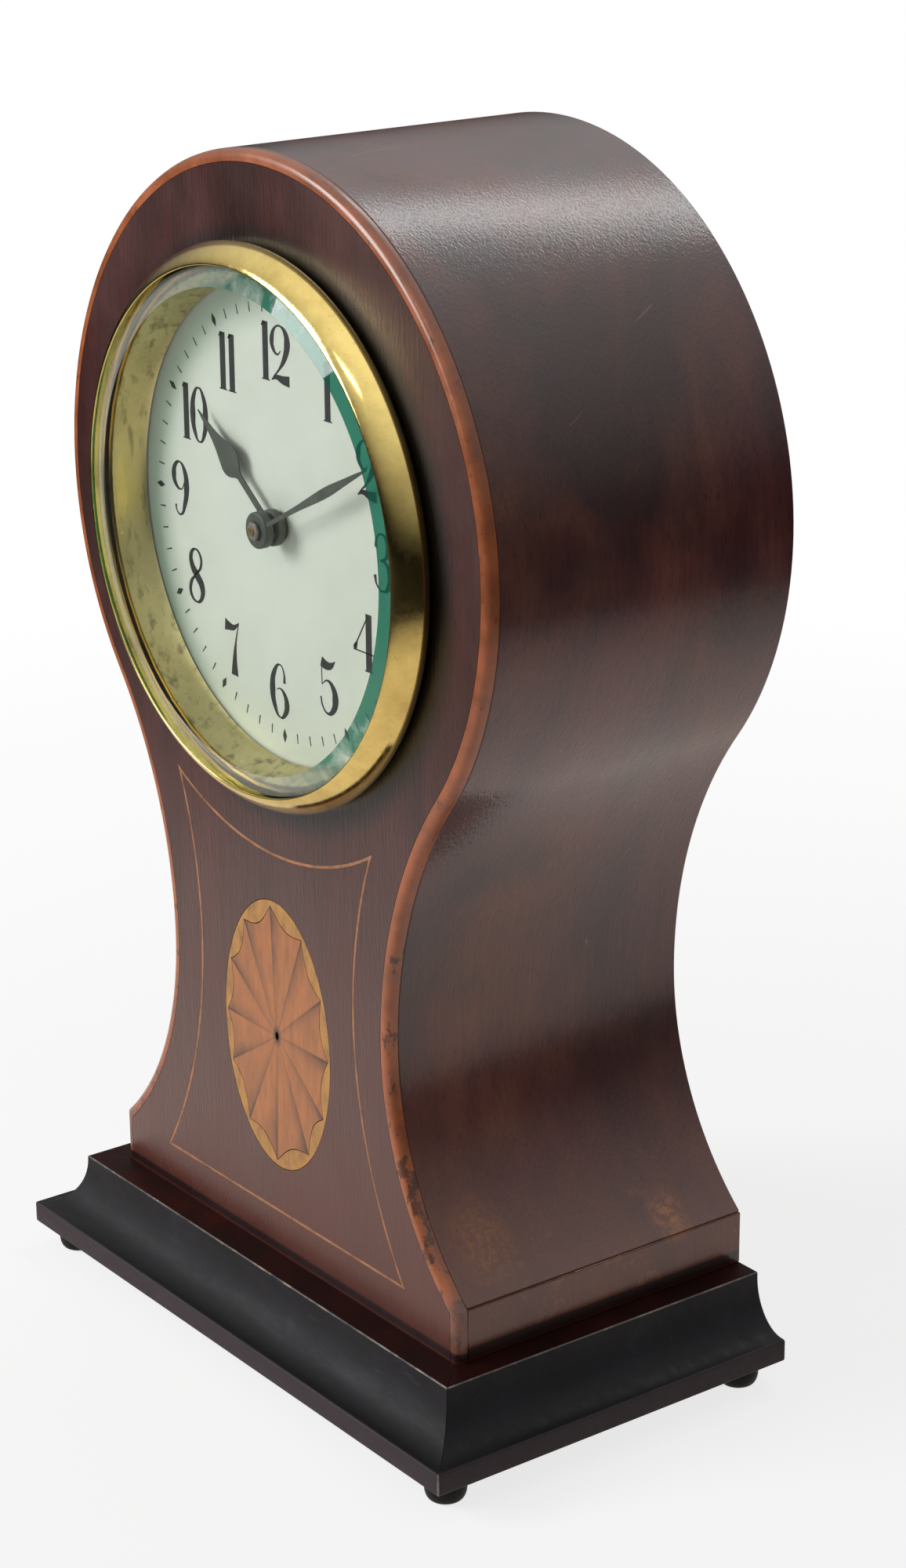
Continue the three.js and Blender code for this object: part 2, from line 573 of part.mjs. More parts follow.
function makeCarcass() {
  const front = -FRONT_THICKNESS - JOINT;
  const back = -CASE_DEPTH;
  const skinFront = -EDGE_STRING - JOINT;
  // Cheeks of the plinth run forward past the front board, which stops short of the sides by the veneer.
  const cheek = (sign) => {
    const edges = [sign * (PLINTH_HALF - VENEER_THICKNESS), sign * PLINTH_HALF].sort((a, b) => a - b);
    return box([edges[0], 0, front - JOINT], [edges[1], PLINTH_HEIGHT, skinFront]);
  };
  const block = box([-PLINTH_HALF, 0, back], [PLINTH_HALF, PLINTH_HEIGHT, front]);
  part(upright, "plinth_block", join(block, cheek(1), cheek(-1)), mahogany);

  const seat = PLINTH_HEIGHT + JOINT;
  const cheekShape = band(cheekEdge(CARCASS_INSET, seat), cheekEdge(INNER_INSET, seat));
  part(upright, "carcass_right", slab(cheekShape, back, front), pine);
  part(upright, "carcass_left", slab(mirrored(cheekShape), back, front), pine);
  const crownShape = band(headEdge(CARCASS_INSET), headEdge(INNER_INSET));
  part(upright, "carcass_crown", movedTo(slab(crownShape, back, front), point(0, JOINT / 2)), pine);
  const skin = band(caseEdge(0, seat), caseEdge(VENEER_THICKNESS, seat));
  part(upright, "side_veneer", slab(skin, back, skinFront), mahogany);

  const hole = circle(BACK_HOLE, ROUND, point(0, DIAL_HEIGHT));
  const panel = slab(caseEdge(INNER_INSET + JOINT, seat), -BACK_FACE, -BACK_FACE + BACK_THICKNESS, [hole]);
  part(upright, "back_board", panel, mahogany);
}

// Bezel, glass, sight ring, drum and dial

function makeFace() {
  const lip = DRUM_RADIUS - BEZEL_LIP;
  const swell = BEZEL_RADIUS - lip;
  const curve = arc(origin, 1, 0, Math.PI / 2, ARC_STEPS).map((p) => [
    BEZEL_RADIUS - swell * (1 - p.x), BEZEL_ROLL + (BEZEL_PROUD - BEZEL_ROLL) * p.y,
  ]);
  const roll = arc(origin, 1, -Math.PI / 2, 0, ROLL_STEPS).slice(0, -1).map((p) => [
    BEZEL_RADIUS - BEZEL_ROLL * (1 - p.x), BEZEL_ROLL + (BEZEL_ROLL - JOINT) * p.y,
  ]);
  const ledge = GLASS_FRONT + FIT;
  const bezel = turned([[DRUM_HOLE, JOINT], ...roll, ...curve, [lip, ledge], [DRUM_HOLE, ledge]], ROUND);
  part(movement, "bezel", bezel, brass);
  part(movement, "glass", turned([
    [0, GLASS_BACK], [DRUM_RADIUS, GLASS_BACK], [DRUM_RADIUS, GLASS_BACK + GLASS_EDGE],
    [DRUM_RADIUS - GLASS_BEVEL, GLASS_FRONT], [0, GLASS_FRONT],
  ], ROUND), plateGlass);

  const front = GLASS_BACK - FIT;
  const rim = DRUM_BORE - FIT;
  part(movement, "sight_ring", turned([
    [rim - SIGHT_RING_WIDTH, -DIAL_DEPTH + FIT], [rim, -DIAL_DEPTH + FIT], [rim, front],
    [rim - SIGHT_RING_EDGE, front],
  ], ROUND), brass);
  const lipFront = -DRUM_BACK + DRUM_WALL;
  part(movement, "drum", turned([
    [DRUM_BORE, front], [DRUM_RADIUS, front], [DRUM_RADIUS, -DRUM_BACK], [DRUM_BORE - DRUM_LIP, -DRUM_BACK],
    [DRUM_BORE - DRUM_LIP, lipFront], [DRUM_BORE, lipFront],
  ], ROUND), brass);

  const disc = slab(circle(rim, ROUND), -DIAL_BACK, -DIAL_DEPTH, [circle(DIAL_HOLE, MEDIUM)]);
  const footFront = -DIAL_DEPTH - DIAL_THICKNESS / 2;
  const foot = (bearing) =>
    movedTo(rod(DIAL_FOOT_RADIUS, -FRONT_PLATE_BACK, footFront), polar(DIAL_FOOT_CIRCLE, bearing));
  part(movement, "dial", join(disc, ...DIAL_FOOT_BEARINGS.map(foot)), enamel);
}

// Brackets between the drum and the back of the front board, each with its screw

function makeBrackets() {
  const half = BRACKET_HEIGHT / 2;
  const face = -FRONT_THICKNESS - JOINT;
  const inner = DRUM_HOLE;
  const under = face - BRACKET_LEAF - JOINT;
  const place = point(BRACKET_SCREW, 0);
  for (const [side, sign] of SIDES) {
    const flange = box([inner, -half, face - BRACKET_LEAF], [inner + BRACKET_FLANGE, half, face]);
    const upstand = box([inner, -half, face - BRACKET_UPSTAND], [inner + BRACKET_LEAF, half, face]);
    const hole = movedTo(rod(SCREW_SHANK + FIT, under, face + JOINT), place);
    const head = rod(SCREW_HEAD, under - SCREW_HEAD_HEIGHT, under);
    const shank = rod(SCREW_SHANK, under - SCREW_HEAD_HEIGHT / 2, under + SCREW_LENGTH);
    const turn = sign > 0 ? 0 : Math.PI;
    part(movement, `drum_bracket_${side}`, cut(join(flange, upstand), hole), brass).rotation.z = turn;
    part(movement, `bracket_screw_${side}`, movedTo(join(head, shank), place), steel).rotation.z = turn;
  }
}

// Gearing

// A gear's outline with one tooth centred on a bearing in degrees.
function gearOutline(teeth, module, toothAt, { addendum, dedendum, thickness, tip }) {
  const pitch = 360 / teeth;
  const pitchRadius = (teeth * module) / 2;
  const root = pitchRadius - dedendum * module;
  const crest = pitchRadius + addendum * module;
  const corners = [[root, -thickness], [crest, -tip], [crest, tip], [root, thickness]];
  const points = [];
  for (let i = 0; i < teeth; i++) {
    for (const [radius, share] of corners) points.push(polar(radius, toothAt + (i + share / 2) * pitch));
  }
  return points;
}

const wheelOutline = (teeth, module, toothAt) => gearOutline(teeth, module, toothAt, WHEEL_TOOTH);
const pinionOutline = (teeth, module, toothAt) => gearOutline(teeth, module, toothAt, PINION_TOOTH);
const gapAt = (teeth, bearing) => bearing + 180 / teeth; // a gap, not a tooth, lies on the bearing
const spacing = (a, b, module) => ((a + b) * module) / 2 + MESH_SLACK;
const level = (behindPlate) => -FRONT_PLATE_BACK - behindPlate; // depth between the plates to drawing level

// Where the arbors stand, from the middle of the dial
const stepTo = (spec) => polar(spacing(spec.teeth, spec.pinion, spec.module), spec.bearing);
const BARREL_PLACE = stepTo(GREAT);
const THIRD_PLACE = stepTo(CENTRE);
const FOURTH_PLACE = stepTo(THIRD).add(THIRD_PLACE);
const ESCAPE_PLACE = stepTo(FOURTH).add(FOURTH_PLACE);
const PALLET_PLACE = polar(ESCAPE_RADIUS + PALLET_STANDOFF, PALLET_BEARING).add(ESCAPE_PLACE);
const BALANCE_PLACE = polar(BALANCE_DISTANCE, BALANCE_BEARING).add(PALLET_PLACE);
const MINUTE_PLACE = polar(spacing(CANNON.teeth, CANNON.wheel, CANNON.module), CANNON.bearing);
const CLICK_PLACE = polar(RATCHET_RADIUS + CLICK_STANDOFF, CLICK_BEARING).add(BARREL_PLACE);
const HOUR_MODULE = (CANNON.module * (CANNON.teeth + CANNON.wheel)) / (HOUR.teeth + HOUR.pinion);

// A wheel's disc with four lightening holes in its web
function wheelDisc(spec, toothAt, at) {
  const web = (spec.teeth * spec.module) / 2 - WHEEL_RIM - WHEEL_HUB;
  const hole = (bearing) => circle(web / 3, SMALL, polar(WHEEL_HUB + web / 2, bearing));
  const holes = [45, 135, 225, 315].map(hole);
  return slab(wheelOutline(spec.teeth, spec.module, toothAt), level(at + WHEEL_THICKNESS), level(at), holes);
}

// Leaves that mesh with a wheel and reach past both its faces
function pinionLeaves(spec, toothAt, wheelAt) {
  const middle = wheelAt + WHEEL_THICKNESS / 2;
  const outline = pinionOutline(spec.pinion, spec.module, toothAt);
  return slab(outline, level(middle + PINION_LENGTH / 2), level(middle - PINION_LENGTH / 2));
}

// An arbor between the plates, with a pivot in each
function arbor(radius) {
  const body = rod(radius, level(PLATE_GAP - FIT), level(FIT));
  return join(body, rod(PIVOT_RADIUS, -BACK_PLATE_BACK, -FRONT_PLATE_DEPTH));
}

// Plates and pillars

function makePlates() {
  const bore = (radius, place, plateDepth) => movedTo(
    rod(radius + FIT, -plateDepth - 2 * PLATE_THICKNESS, -plateDepth + PLATE_THICKNESS), place);
  const pivotPlaces = [THIRD_PLACE, FOURTH_PLACE, ESCAPE_PLACE, PALLET_PLACE, BALANCE_PLACE];
  const pillarPlaces = PILLAR_BEARINGS.map((bearing) => polar(PILLAR_CIRCLE, bearing));
  const sharedBores = (plateDepth) => [
    ...pivotPlaces.map((place) => bore(PIVOT_RADIUS, place, plateDepth)),
    ...pillarPlaces.map((place) => bore(PILLAR_TENON, place, plateDepth)),
  ];

  const feet = DIAL_FOOT_BEARINGS.map((bearing) => polar(DIAL_FOOT_CIRCLE, bearing));
  const frontDisc = slab(circle(FRONT_PLATE_RADIUS, ROUND), -FRONT_PLATE_BACK, -FRONT_PLATE_DEPTH);
  const frontSheet = cut(
    frontDisc, ...sharedBores(FRONT_PLATE_DEPTH), bore(CANNON_PIPE, origin, FRONT_PLATE_DEPTH),
    bore(BARREL_PIVOT, BARREL_PLACE, FRONT_PLATE_DEPTH),
    ...feet.map((place) => bore(DIAL_FOOT_RADIUS, place, FRONT_PLATE_DEPTH)));
  const minuteStud = movedTo(
    rod(MINUTE_STUD, -FRONT_PLATE_BACK + PLATE_THICKNESS / 2, -HOUR_WHEEL_DEPTH), MINUTE_PLACE);
  part(movement, "front_plate", join(frontSheet, minuteStud), brass);

  const middle = -BACK_PLATE_BACK + PLATE_THICKNESS / 2;
  const backDisc = slab(circle(DRUM_BORE - FIT, ROUND), -BACK_PLATE_BACK, -BACK_PLATE_DEPTH);
  const backSheet = cut(
    backDisc, ...sharedBores(BACK_PLATE_DEPTH), bore(ARBOR_RADIUS, origin, BACK_PLATE_DEPTH),
    bore(BARREL_ARBOR, BARREL_PLACE, BACK_PLATE_DEPTH));
  const clickStud = movedTo(rod(STUD_RADIUS, -RATCHET_DEPTH - WHEEL_THICKNESS - FIT, middle), CLICK_PLACE);
  const studHalf = HAIR_STUD / 2;
  const studPlace = point(HAIR_REACH + HAIR_LEAF + FIT + studHalf, 0).add(BALANCE_PLACE);
  const studBlock = box([-studHalf, -studHalf, middle], [studHalf, studHalf, level(HAIR_LEVEL)]);
  const hairStud = movedTo(studBlock, studPlace);
  const seatBack = -BACK_PLATE_BACK - REGULATOR_SEAT_HEIGHT;
  const seat = movedTo(tube(PIVOT_RADIUS + FIT, REGULATOR_SEAT, seatBack, middle), BALANCE_PLACE);
  part(movement, "back_plate", join(backSheet, clickStud, hairStud, seat), brass);

  pillarPlaces.forEach((place, i) => {
    const post = rod(PILLAR_RADIUS, level(PLATE_GAP - JOINT), level(JOINT));
    const tenons = rod(PILLAR_TENON, -BACK_PLATE_BACK, -FRONT_PLATE_DEPTH);
    part(movement, `pillar_${i + 1}`, join(post, tenons), brass, place);
  });
}

// Barrel with its spring, arbor, ratchet, click and key

// A leaf wound in a flat spiral from an inner to an outer radius
function spiral(inner, outer, turns, leaf, back, front) {
  const steps = turns * SPRING_STEPS;
  const edge = (offset) => {
    const points = [];
    for (let i = 0; i <= steps; i++) {
      points.push(polar(inner + ((outer - inner) * i) / steps + offset, (360 * i) / SPRING_STEPS));
    }
    return points;
  };
  return slab(band(edge(leaf / 2), edge(-leaf / 2)), back, front);
}

function makeBarrel() {
  const bore = BARREL_ARBOR + FIT;
  const teeth = wheelOutline(GREAT.teeth, GREAT.module, GREAT.bearing + 180);
  const disc = slab(teeth, level(BARREL_FLOOR), level(GREAT_LEVEL), [circle(bore, SMALL)]);
  const wallFront = level(BARREL_FLOOR - WHEEL_THICKNESS / 2);
  const wall = tube(BARREL_RADIUS - BARREL_WALL, BARREL_RADIUS, level(BARREL_BACK), wallFront, 2 * MEDIUM);
  part(movement, "barrel", join(disc, wall), brass, BARREL_PLACE);
  const cap = tube(bore, BARREL_RADIUS, level(CAP_BACK), level(BARREL_BACK + JOINT), 2 * MEDIUM);
  part(movement, "barrel_cap", cap, brass, BARREL_PLACE);
  const innerTurn = bore + SPRING_LEAF / 2;
  const outerTurn = BARREL_RADIUS - BARREL_WALL - FIT - SPRING_LEAF / 2;
  const coil = spiral(
    innerTurn, outerTurn, SPRING_TURNS, SPRING_LEAF, level(BARREL_BACK - FIT), level(BARREL_FLOOR + FIT));
  part(movement, "mainspring", coil, steel, BARREL_PLACE);

  const stem = rod(BARREL_ARBOR, -BACK_PLATE_BACK - BARREL_TAIL, level(FIT));
  const pivot = rod(BARREL_PIVOT, level(PLATE_GAP), -FRONT_PLATE_DEPTH);
  part(movement, "barrel_arbor", join(stem, pivot), steel, BARREL_PLACE);

  const saw = [];
  for (let i = 0; i < RATCHET_TEETH; i++) {
    const bearing = (360 * i) / RATCHET_TEETH;
    saw.push(polar(RATCHET_RADIUS, bearing), polar(RATCHET_ROOT, bearing + RATCHET_RAKE));
  }
  const back = -RATCHET_DEPTH - WHEEL_THICKNESS;
  const ratchet = slab(saw, back, -RATCHET_DEPTH, [circle(bore, SMALL)]);
  part(movement, "ratchet_wheel", ratchet, steel, BARREL_PLACE);

  // The click's beak rides just off the ratchet's tips.
  const beak = polar(RATCHET_RADIUS + FIT, CLICK_BEARING + CLICK_SWEEP).add(BARREL_PLACE).sub(CLICK_PLACE);
  const aim = beak.clone().normalize();
  const inward = aim.clone().rotateAround(origin, Math.PI / 2);
  const blade = [
    beak, beak.clone().addScaledVector(inward, -CLICK_BEAK), inward.clone().multiplyScalar(-CLICK_HALF),
    aim.clone().multiplyScalar(-CLICK_HALF), inward.clone().multiplyScalar(CLICK_HALF),
  ];
  const click = slab(blade, back, -RATCHET_DEPTH, [circle(STUD_RADIUS + FIT, SMALL)]);
  part(movement, "click", click, steel, CLICK_PLACE);
}

function makeKey() {
  const socketBack = -KEY_DEPTH - KEY_SOCKET;
  const socket = tube(BARREL_ARBOR + FIT, KEY_HUB, socketBack, -KEY_DEPTH);
  const stem = rod(KEY_STEM, socketBack - KEY_STEM_LENGTH, socketBack + FIT);
  const crown = rod(KEY_HUB, socketBack - FIT, socketBack);
  const wingLevel = socketBack - KEY_STEM_LENGTH - KEY_STEM;
  const wing = (sign) => {
    const leaf = slab(circle(KEY_WING, MEDIUM), -KEY_WING_THICKNESS / 2, KEY_WING_THICKNESS / 2);
    return leaf.rotateX(Math.PI / 2).translate(sign * KEY_WING_OFFSET, 0, wingLevel);
  };
  part(movement, "winding_key", join(socket, crown, stem, wing(1), wing(-1)), brass, BARREL_PLACE);
}

// Going train

function makeTrain() {
  const leavesFacing = (spec) => gapAt(spec.pinion, spec.bearing + 180);
  const nose = GLASS_BACK - FIT;
  const stem = rod(ARBOR_RADIUS, -BACK_PLATE_BACK - ARBOR_TAIL, level(0));
  const centre = join(
    stem, rod(ARBOR_NOSE, level(FIT), nose), wheelDisc(CENTRE, CENTRE.bearing, CENTRE_LEVEL),
    pinionLeaves(GREAT, gapAt(GREAT.pinion, GREAT.bearing), GREAT_LEVEL));
  part(movement, "centre_wheel", centre, brass);

  const third = join(
    arbor(ARBOR_RADIUS), pinionLeaves(CENTRE, leavesFacing(CENTRE), CENTRE_LEVEL),
    wheelDisc(THIRD, THIRD.bearing, THIRD_LEVEL));
  part(movement, "third_wheel", third, brass, THIRD_PLACE);
  const fourth = join(
    arbor(ARBOR_RADIUS), pinionLeaves(THIRD, leavesFacing(THIRD), THIRD_LEVEL),
    wheelDisc(FOURTH, FOURTH.bearing, FOURTH_LEVEL));
  part(movement, "fourth_wheel", fourth, brass, FOURTH_PLACE);

  const teeth = [];
  for (let i = 0; i < ESCAPE_TEETH; i++) {
    const bearing = (360 * i) / ESCAPE_TEETH;
    teeth.push(
      polar(ESCAPE_ROOT, bearing), polar(ESCAPE_RADIUS, bearing + ESCAPE_TOOTH.tip),
      polar(ESCAPE_RADIUS, bearing + ESCAPE_TOOTH.heel));
  }
  const escape = join(
    arbor(THIN_ARBOR), pinionLeaves(FOURTH, leavesFacing(FOURTH), FOURTH_LEVEL),
    slab(teeth, level(ESCAPE_LEVEL + ESCAPE_THICKNESS), level(ESCAPE_LEVEL)));
  part(movement, "escape_wheel", escape, brass, ESCAPE_PLACE);
}

// Escapement: pallet fork, balance, hairspring and regulator

function makeEscapement() {
  const back = level(ESCAPE_LEVEL + ESCAPE_THICKNESS);
  const front = level(ESCAPE_LEVEL);
  const arm = (bearing, length, half) => {
    const bar = box([-half, -half, back], [length, half, front]);
    return bar.rotateZ(radians(bearing));
  };
  const toEscape = PALLET_BEARING + 180;
  const reach = Math.min(PALLET_REACH, 2 * (PALLET_STANDOFF - PALLET_CLEARANCE));
  const fork = join(
    arbor(THIN_ARBOR), arm(toEscape + PALLET_SPREAD, reach, PALLET_HALF),
    arm(toEscape - PALLET_SPREAD, reach, PALLET_HALF),
    arm(BALANCE_BEARING, BALANCE_DISTANCE - FORK_CLEARANCE, FORK_HALF));
  part(movement, "pallet_fork", fork, steel, PALLET_PLACE);

  const rimBack = level(BALANCE_LEVEL + BALANCE_RIM);
  const rimFront = level(BALANCE_LEVEL);
  const rim = tube(BALANCE_RADIUS - BALANCE_RIM, BALANCE_RADIUS, rimBack, rimFront, 2 * MEDIUM);
  const tip = BALANCE_RADIUS - BALANCE_RIM / 2;
  const half = BALANCE_SPOKE / 2;
  const spoke = (bearing) => box(
    [-tip, -half, rimBack + BALANCE_SPOKE_INSET], [tip, half, rimFront - BALANCE_SPOKE_INSET],
  ).rotateZ(radians(bearing));
  const roller = rod(ROLLER_RADIUS, level(ROLLER_LEVEL + ROLLER_THICKNESS), level(ROLLER_LEVEL));
  const balance = join(arbor(THIN_ARBOR), rim, roller, ...SPOKE_BEARINGS.map(spoke));
  part(movement, "balance_wheel", balance, brass, BALANCE_PLACE);

  const innerTurn = THIN_ARBOR + FIT + HAIR_LEAF / 2;
  const hair = spiral(
    innerTurn, HAIR_REACH, HAIR_TURNS, HAIR_LEAF, level(HAIR_LEVEL + HAIR_WIDTH), level(HAIR_LEVEL));
  part(movement, "hairspring", hair, steel, BALANCE_PLACE);

  const seatFront = -BACK_PLATE_BACK - FIT;
  const seatBack = seatFront - REGULATOR_THICKNESS;
  const collarBore = REGULATOR_SEAT + FIT;
  const collarRim = collarBore + REGULATOR_COLLAR;
  const start = collarBore + REGULATOR_COLLAR / 2;
  const pointer = slab([
    point(-REGULATOR_WIDTH / 2, -start), point(-REGULATOR_TIP / 2, -REGULATOR_LENGTH),
    point(REGULATOR_TIP / 2, -REGULATOR_LENGTH), point(REGULATOR_WIDTH / 2, -start),
  ], seatBack, seatFront);
  const collar = tube(collarBore, collarRim, seatBack, seatFront);
  part(movement, "regulator", join(collar, pointer), steel, BALANCE_PLACE);
}

// Motion work, hands and setting knob

// Outline of a leaf hand that points up: a slender shank, a leaf and a fine point
function handOutline({ length, width, leafStart, leafMiddle }) {
  const half = width / 2;
  const shank = half * HAND_SHANK;
  const rise = leafMiddle - leafStart;
  const leaf = HAND_LEAF.map(([up, out]) => point(half * out, leafMiddle + rise * up));
  const right = [point(shank, 0), point(shank, leafStart), ...leaf, point(HAND_TIP, length - half)];
  return [...right, point(0, length), ...mirrored(right)];
}

// A hand with a boss bored for its pipe. The leaf is midway along the boss.
function hand(spec, boss, pipe, back, front) {
  const middle = (back + front) / 2;
  const leaf = slab(handOutline(spec), middle - HAND_THICKNESS / 2, middle + HAND_THICKNESS / 2);
  return cut(join(rod(boss, back, front, MEDIUM), leaf), rod(pipe + FIT, back - FIT, front + FIT));
}

function makeHands() {
  const minuteBack = -MINUTE_WHEEL_DEPTH - WHEEL_THICKNESS;
  const hourBossBack = -DIAL_DEPTH + HOUR_HAND_STANDOFF;
  const hourBossFront = hourBossBack + HOUR_BOSS_LENGTH;
  const minuteBossBack = hourBossFront + BOSS_GAP;
  const minuteBossFront = minuteBossBack + MINUTE_BOSS_LENGTH;

  const noseBore = [circle(ARBOR_NOSE + FIT, SMALL)];
  const cannonTeeth = pinionOutline(CANNON.teeth, CANNON.module, gapAt(CANNON.teeth, CANNON.bearing));
  const cannonBack = minuteBack - FIT;
  const cannonLeaves = slab(cannonTeeth, cannonBack, -MINUTE_WHEEL_DEPTH + FIT, noseBore);
  const cannonPipe = tube(ARBOR_NOSE + FIT, CANNON_PIPE, cannonBack, minuteBossFront - FIT);
  part(movement, "cannon_pinion", join(cannonLeaves, cannonPipe), steel);

  const studBore = [circle(MINUTE_STUD + FIT, SMALL)];
  const minuteTeeth = wheelOutline(CANNON.wheel, CANNON.module, CANNON.bearing + 180);
  const minuteDisc = slab(minuteTeeth, minuteBack, -MINUTE_WHEEL_DEPTH, studBore);
  const minuteLeafTeeth = pinionOutline(HOUR.pinion, HOUR_MODULE, gapAt(HOUR.pinion, CANNON.bearing + 180));
  const minuteLeaves = slab(minuteLeafTeeth, minuteBack + WHEEL_THICKNESS / 2, -HOUR_WHEEL_DEPTH, studBore);
  part(movement, "minute_wheel", join(minuteDisc, minuteLeaves), brass, MINUTE_PLACE);

  const hourBack = -HOUR_WHEEL_DEPTH - WHEEL_THICKNESS;
  const hourBore = CANNON_PIPE + FIT;
  const hourTeeth = wheelOutline(HOUR.teeth, HOUR_MODULE, CANNON.bearing);
  const hourDisc = slab(hourTeeth, hourBack, -HOUR_WHEEL_DEPTH, [circle(hourBore, SMALL)]);
  const hourPipe = tube(hourBore, HOUR_PIPE, hourBack, hourBossFront - FIT);
  part(movement, "hour_wheel", join(hourDisc, hourPipe), brass);

  const hourHand = hand(HOUR_HAND, HOUR_BOSS, HOUR_PIPE, hourBossBack, hourBossFront);
  const hourTurn = -30 * (HOURS_SHOWN + MINUTES_SHOWN / 60);
  part(movement, "hour_hand", hourHand, blackened).rotation.z = radians(hourTurn);
  const minuteHand = hand(MINUTE_HAND, MINUTE_BOSS, CANNON_PIPE, minuteBossBack, minuteBossFront);
  part(movement, "minute_hand", minuteHand, blackened).rotation.z = radians(-6 * MINUTES_SHOWN);
  const nutBack = minuteBossFront + JOINT;
  part(movement, "hand_nut", slab(circle(HAND_NUT, 6), nutBack, nutBack + HAND_NUT_LENGTH, noseBore), brass);

  const bore = ARBOR_RADIUS + FIT;
  const front = -BACK_PLATE_BACK - KNOB_STANDOFF;
  const back = front - KNOB_LENGTH;
  const shoulder = front - KNOB_NECK_LENGTH;
  part(movement, "hand_setting_knob", turned([
    [bore, back], [KNOB_RADIUS - KNOB_CHAMFER, back], [KNOB_RADIUS, back + KNOB_CHAMFER],
    [KNOB_RADIUS, shoulder - KNOB_CHAMFER], [KNOB_NECK, shoulder], [KNOB_NECK, front], [bore, front],
  ]), brass);
}

// Back ring and its hinged door

function makeBackDoor() {
  const hingeX = RING_RADIUS + HINGE_OFFSET;
  const hingeLevel = -DOOR_BACK - (KNUCKLE_RADIUS - KNUCKLE_LENGTH / 4);
  const half = KNUCKLE_LENGTH / 2;
  const end = half + KNUCKLE_LENGTH;
  const along = (from, to, radius) =>
    rod(radius, from, to).rotateX(-Math.PI / 2).translate(hingeX, 0, hingeLevel);
  const bore = along(-end - FIT, end + FIT, HINGE_PIN + FIT / 2);
  const room = KNUCKLE_RADIUS + FIT; // clearance of a turning knuckle

  const ring = tube(BACK_HOLE - RING_LAP, RING_RADIUS, -RING_BACK, -BACK_FACE - JOINT, ROUND);
  const inner = half - FIT; // end of the ring's knuckle
  const ringTab = box([hingeX - HINGE_TAB, -inner, hingeLevel], [hingeX, inner, -BACK_FACE - JOINT]);
  const relief = (low) => box(
    [hingeX - room, low, hingeLevel - room], [hingeX + room, low + KNUCKLE_LENGTH, hingeLevel + room]);
  const hingedRing = join(ring, ringTab, along(-inner, inner, KNUCKLE_RADIUS));
  part(movement, "back_ring", cut(hingedRing, relief(half), relief(-end), bore), brass);

  const flange = DOOR_RADIUS - DOOR_FLANGE;
  const shoulder = flange - DOOR_DOME;
  const leaf = turned([
    [0, -DOOR_FRONT - DOOR_DOME], [shoulder, -DOOR_FRONT - DOOR_DOME], [flange, -DOOR_FRONT],
    [DOOR_RADIUS, -DOOR_FRONT], [DOOR_RADIUS, -DOOR_BACK], [flange, -DOOR_BACK],
    [shoulder, -DOOR_BACK - DOOR_DOME], [0, -DOOR_BACK - DOOR_DOME],
  ], ROUND);
  const length = KNUCKLE_LENGTH - FIT;
  const doorTab = (low) => box([flange, low, -DOOR_BACK], [hingeX, low + length, -DOOR_FRONT]);
  const notch = box([hingeX - HINGE_TAB - FIT, -half, hingeLevel - room], [hingeX + room, half, -RING_BACK]);
  const hingedLeaf = join(
    leaf, doorTab(half), doorTab(-end + FIT), along(half, end - FIT, KNUCKLE_RADIUS),
    along(-end + FIT, -half, KNUCKLE_RADIUS));
  part(movement, "back_door", cut(hingedLeaf, notch, bore), brass);
  part(movement, "door_hinge_pin", along(-end, end, HINGE_PIN), steel);

  const seat = -DOOR_BACK - DOOR_DOME - FIT;
  const top = seat - DOOR_KNOB_REACH;
  const knob = turned([
    [0, top], [DOOR_KNOB_NECK, top], [DOOR_KNOB_RADIUS, (top + seat - DOOR_KNOB_STEM) / 2],
    [DOOR_KNOB_NECK, seat - DOOR_KNOB_STEM], [DOOR_KNOB_NECK, seat], [0, seat],
  ], SMALL);
  part(movement, "door_knob", knob, brass, point(-(DOOR_RADIUS - DOOR_KNOB_INSET), 0));
}

makeBase();
makeFront();
makeCarcass();
makeFace();
makeBrackets();
makePlates();
makeBarrel();
makeKey();
makeTrain();
makeEscapement();
makeHands();
makeBackDoor();

export default clock;
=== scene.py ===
"""Balloon mantel clock: the visible case, dial and hands, modelled round the measured parts of the clock."""

import math

import bpy
from bpy.props import FloatProperty, FloatVectorProperty, PointerProperty
from mathutils import Matrix, Vector


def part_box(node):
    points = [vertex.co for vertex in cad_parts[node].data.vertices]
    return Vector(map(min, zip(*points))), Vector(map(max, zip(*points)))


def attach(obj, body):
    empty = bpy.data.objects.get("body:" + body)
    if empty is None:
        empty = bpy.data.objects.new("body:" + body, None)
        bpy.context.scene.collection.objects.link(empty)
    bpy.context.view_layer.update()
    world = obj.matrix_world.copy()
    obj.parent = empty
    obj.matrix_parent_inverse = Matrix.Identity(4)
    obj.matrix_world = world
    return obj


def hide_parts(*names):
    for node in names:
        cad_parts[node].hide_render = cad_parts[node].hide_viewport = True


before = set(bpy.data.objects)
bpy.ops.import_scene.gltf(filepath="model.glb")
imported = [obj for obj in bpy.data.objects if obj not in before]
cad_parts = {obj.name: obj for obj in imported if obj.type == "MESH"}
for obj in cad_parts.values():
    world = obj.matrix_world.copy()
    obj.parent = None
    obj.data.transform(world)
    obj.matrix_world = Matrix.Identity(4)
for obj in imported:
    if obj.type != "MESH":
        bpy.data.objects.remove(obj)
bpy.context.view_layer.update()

bl_info = {
    "name": "Balloon mantel clock",
    "version": (1, 0, 0),
    "blender": (4, 5, 0),
    "location": "View3D > Sidebar > Clock",
    "description": "Models a veneered balloon clock round its measured parts",
    "category": "Object",
}

MM = 0.001
WELD = 1e-6  # corners closer than this are one

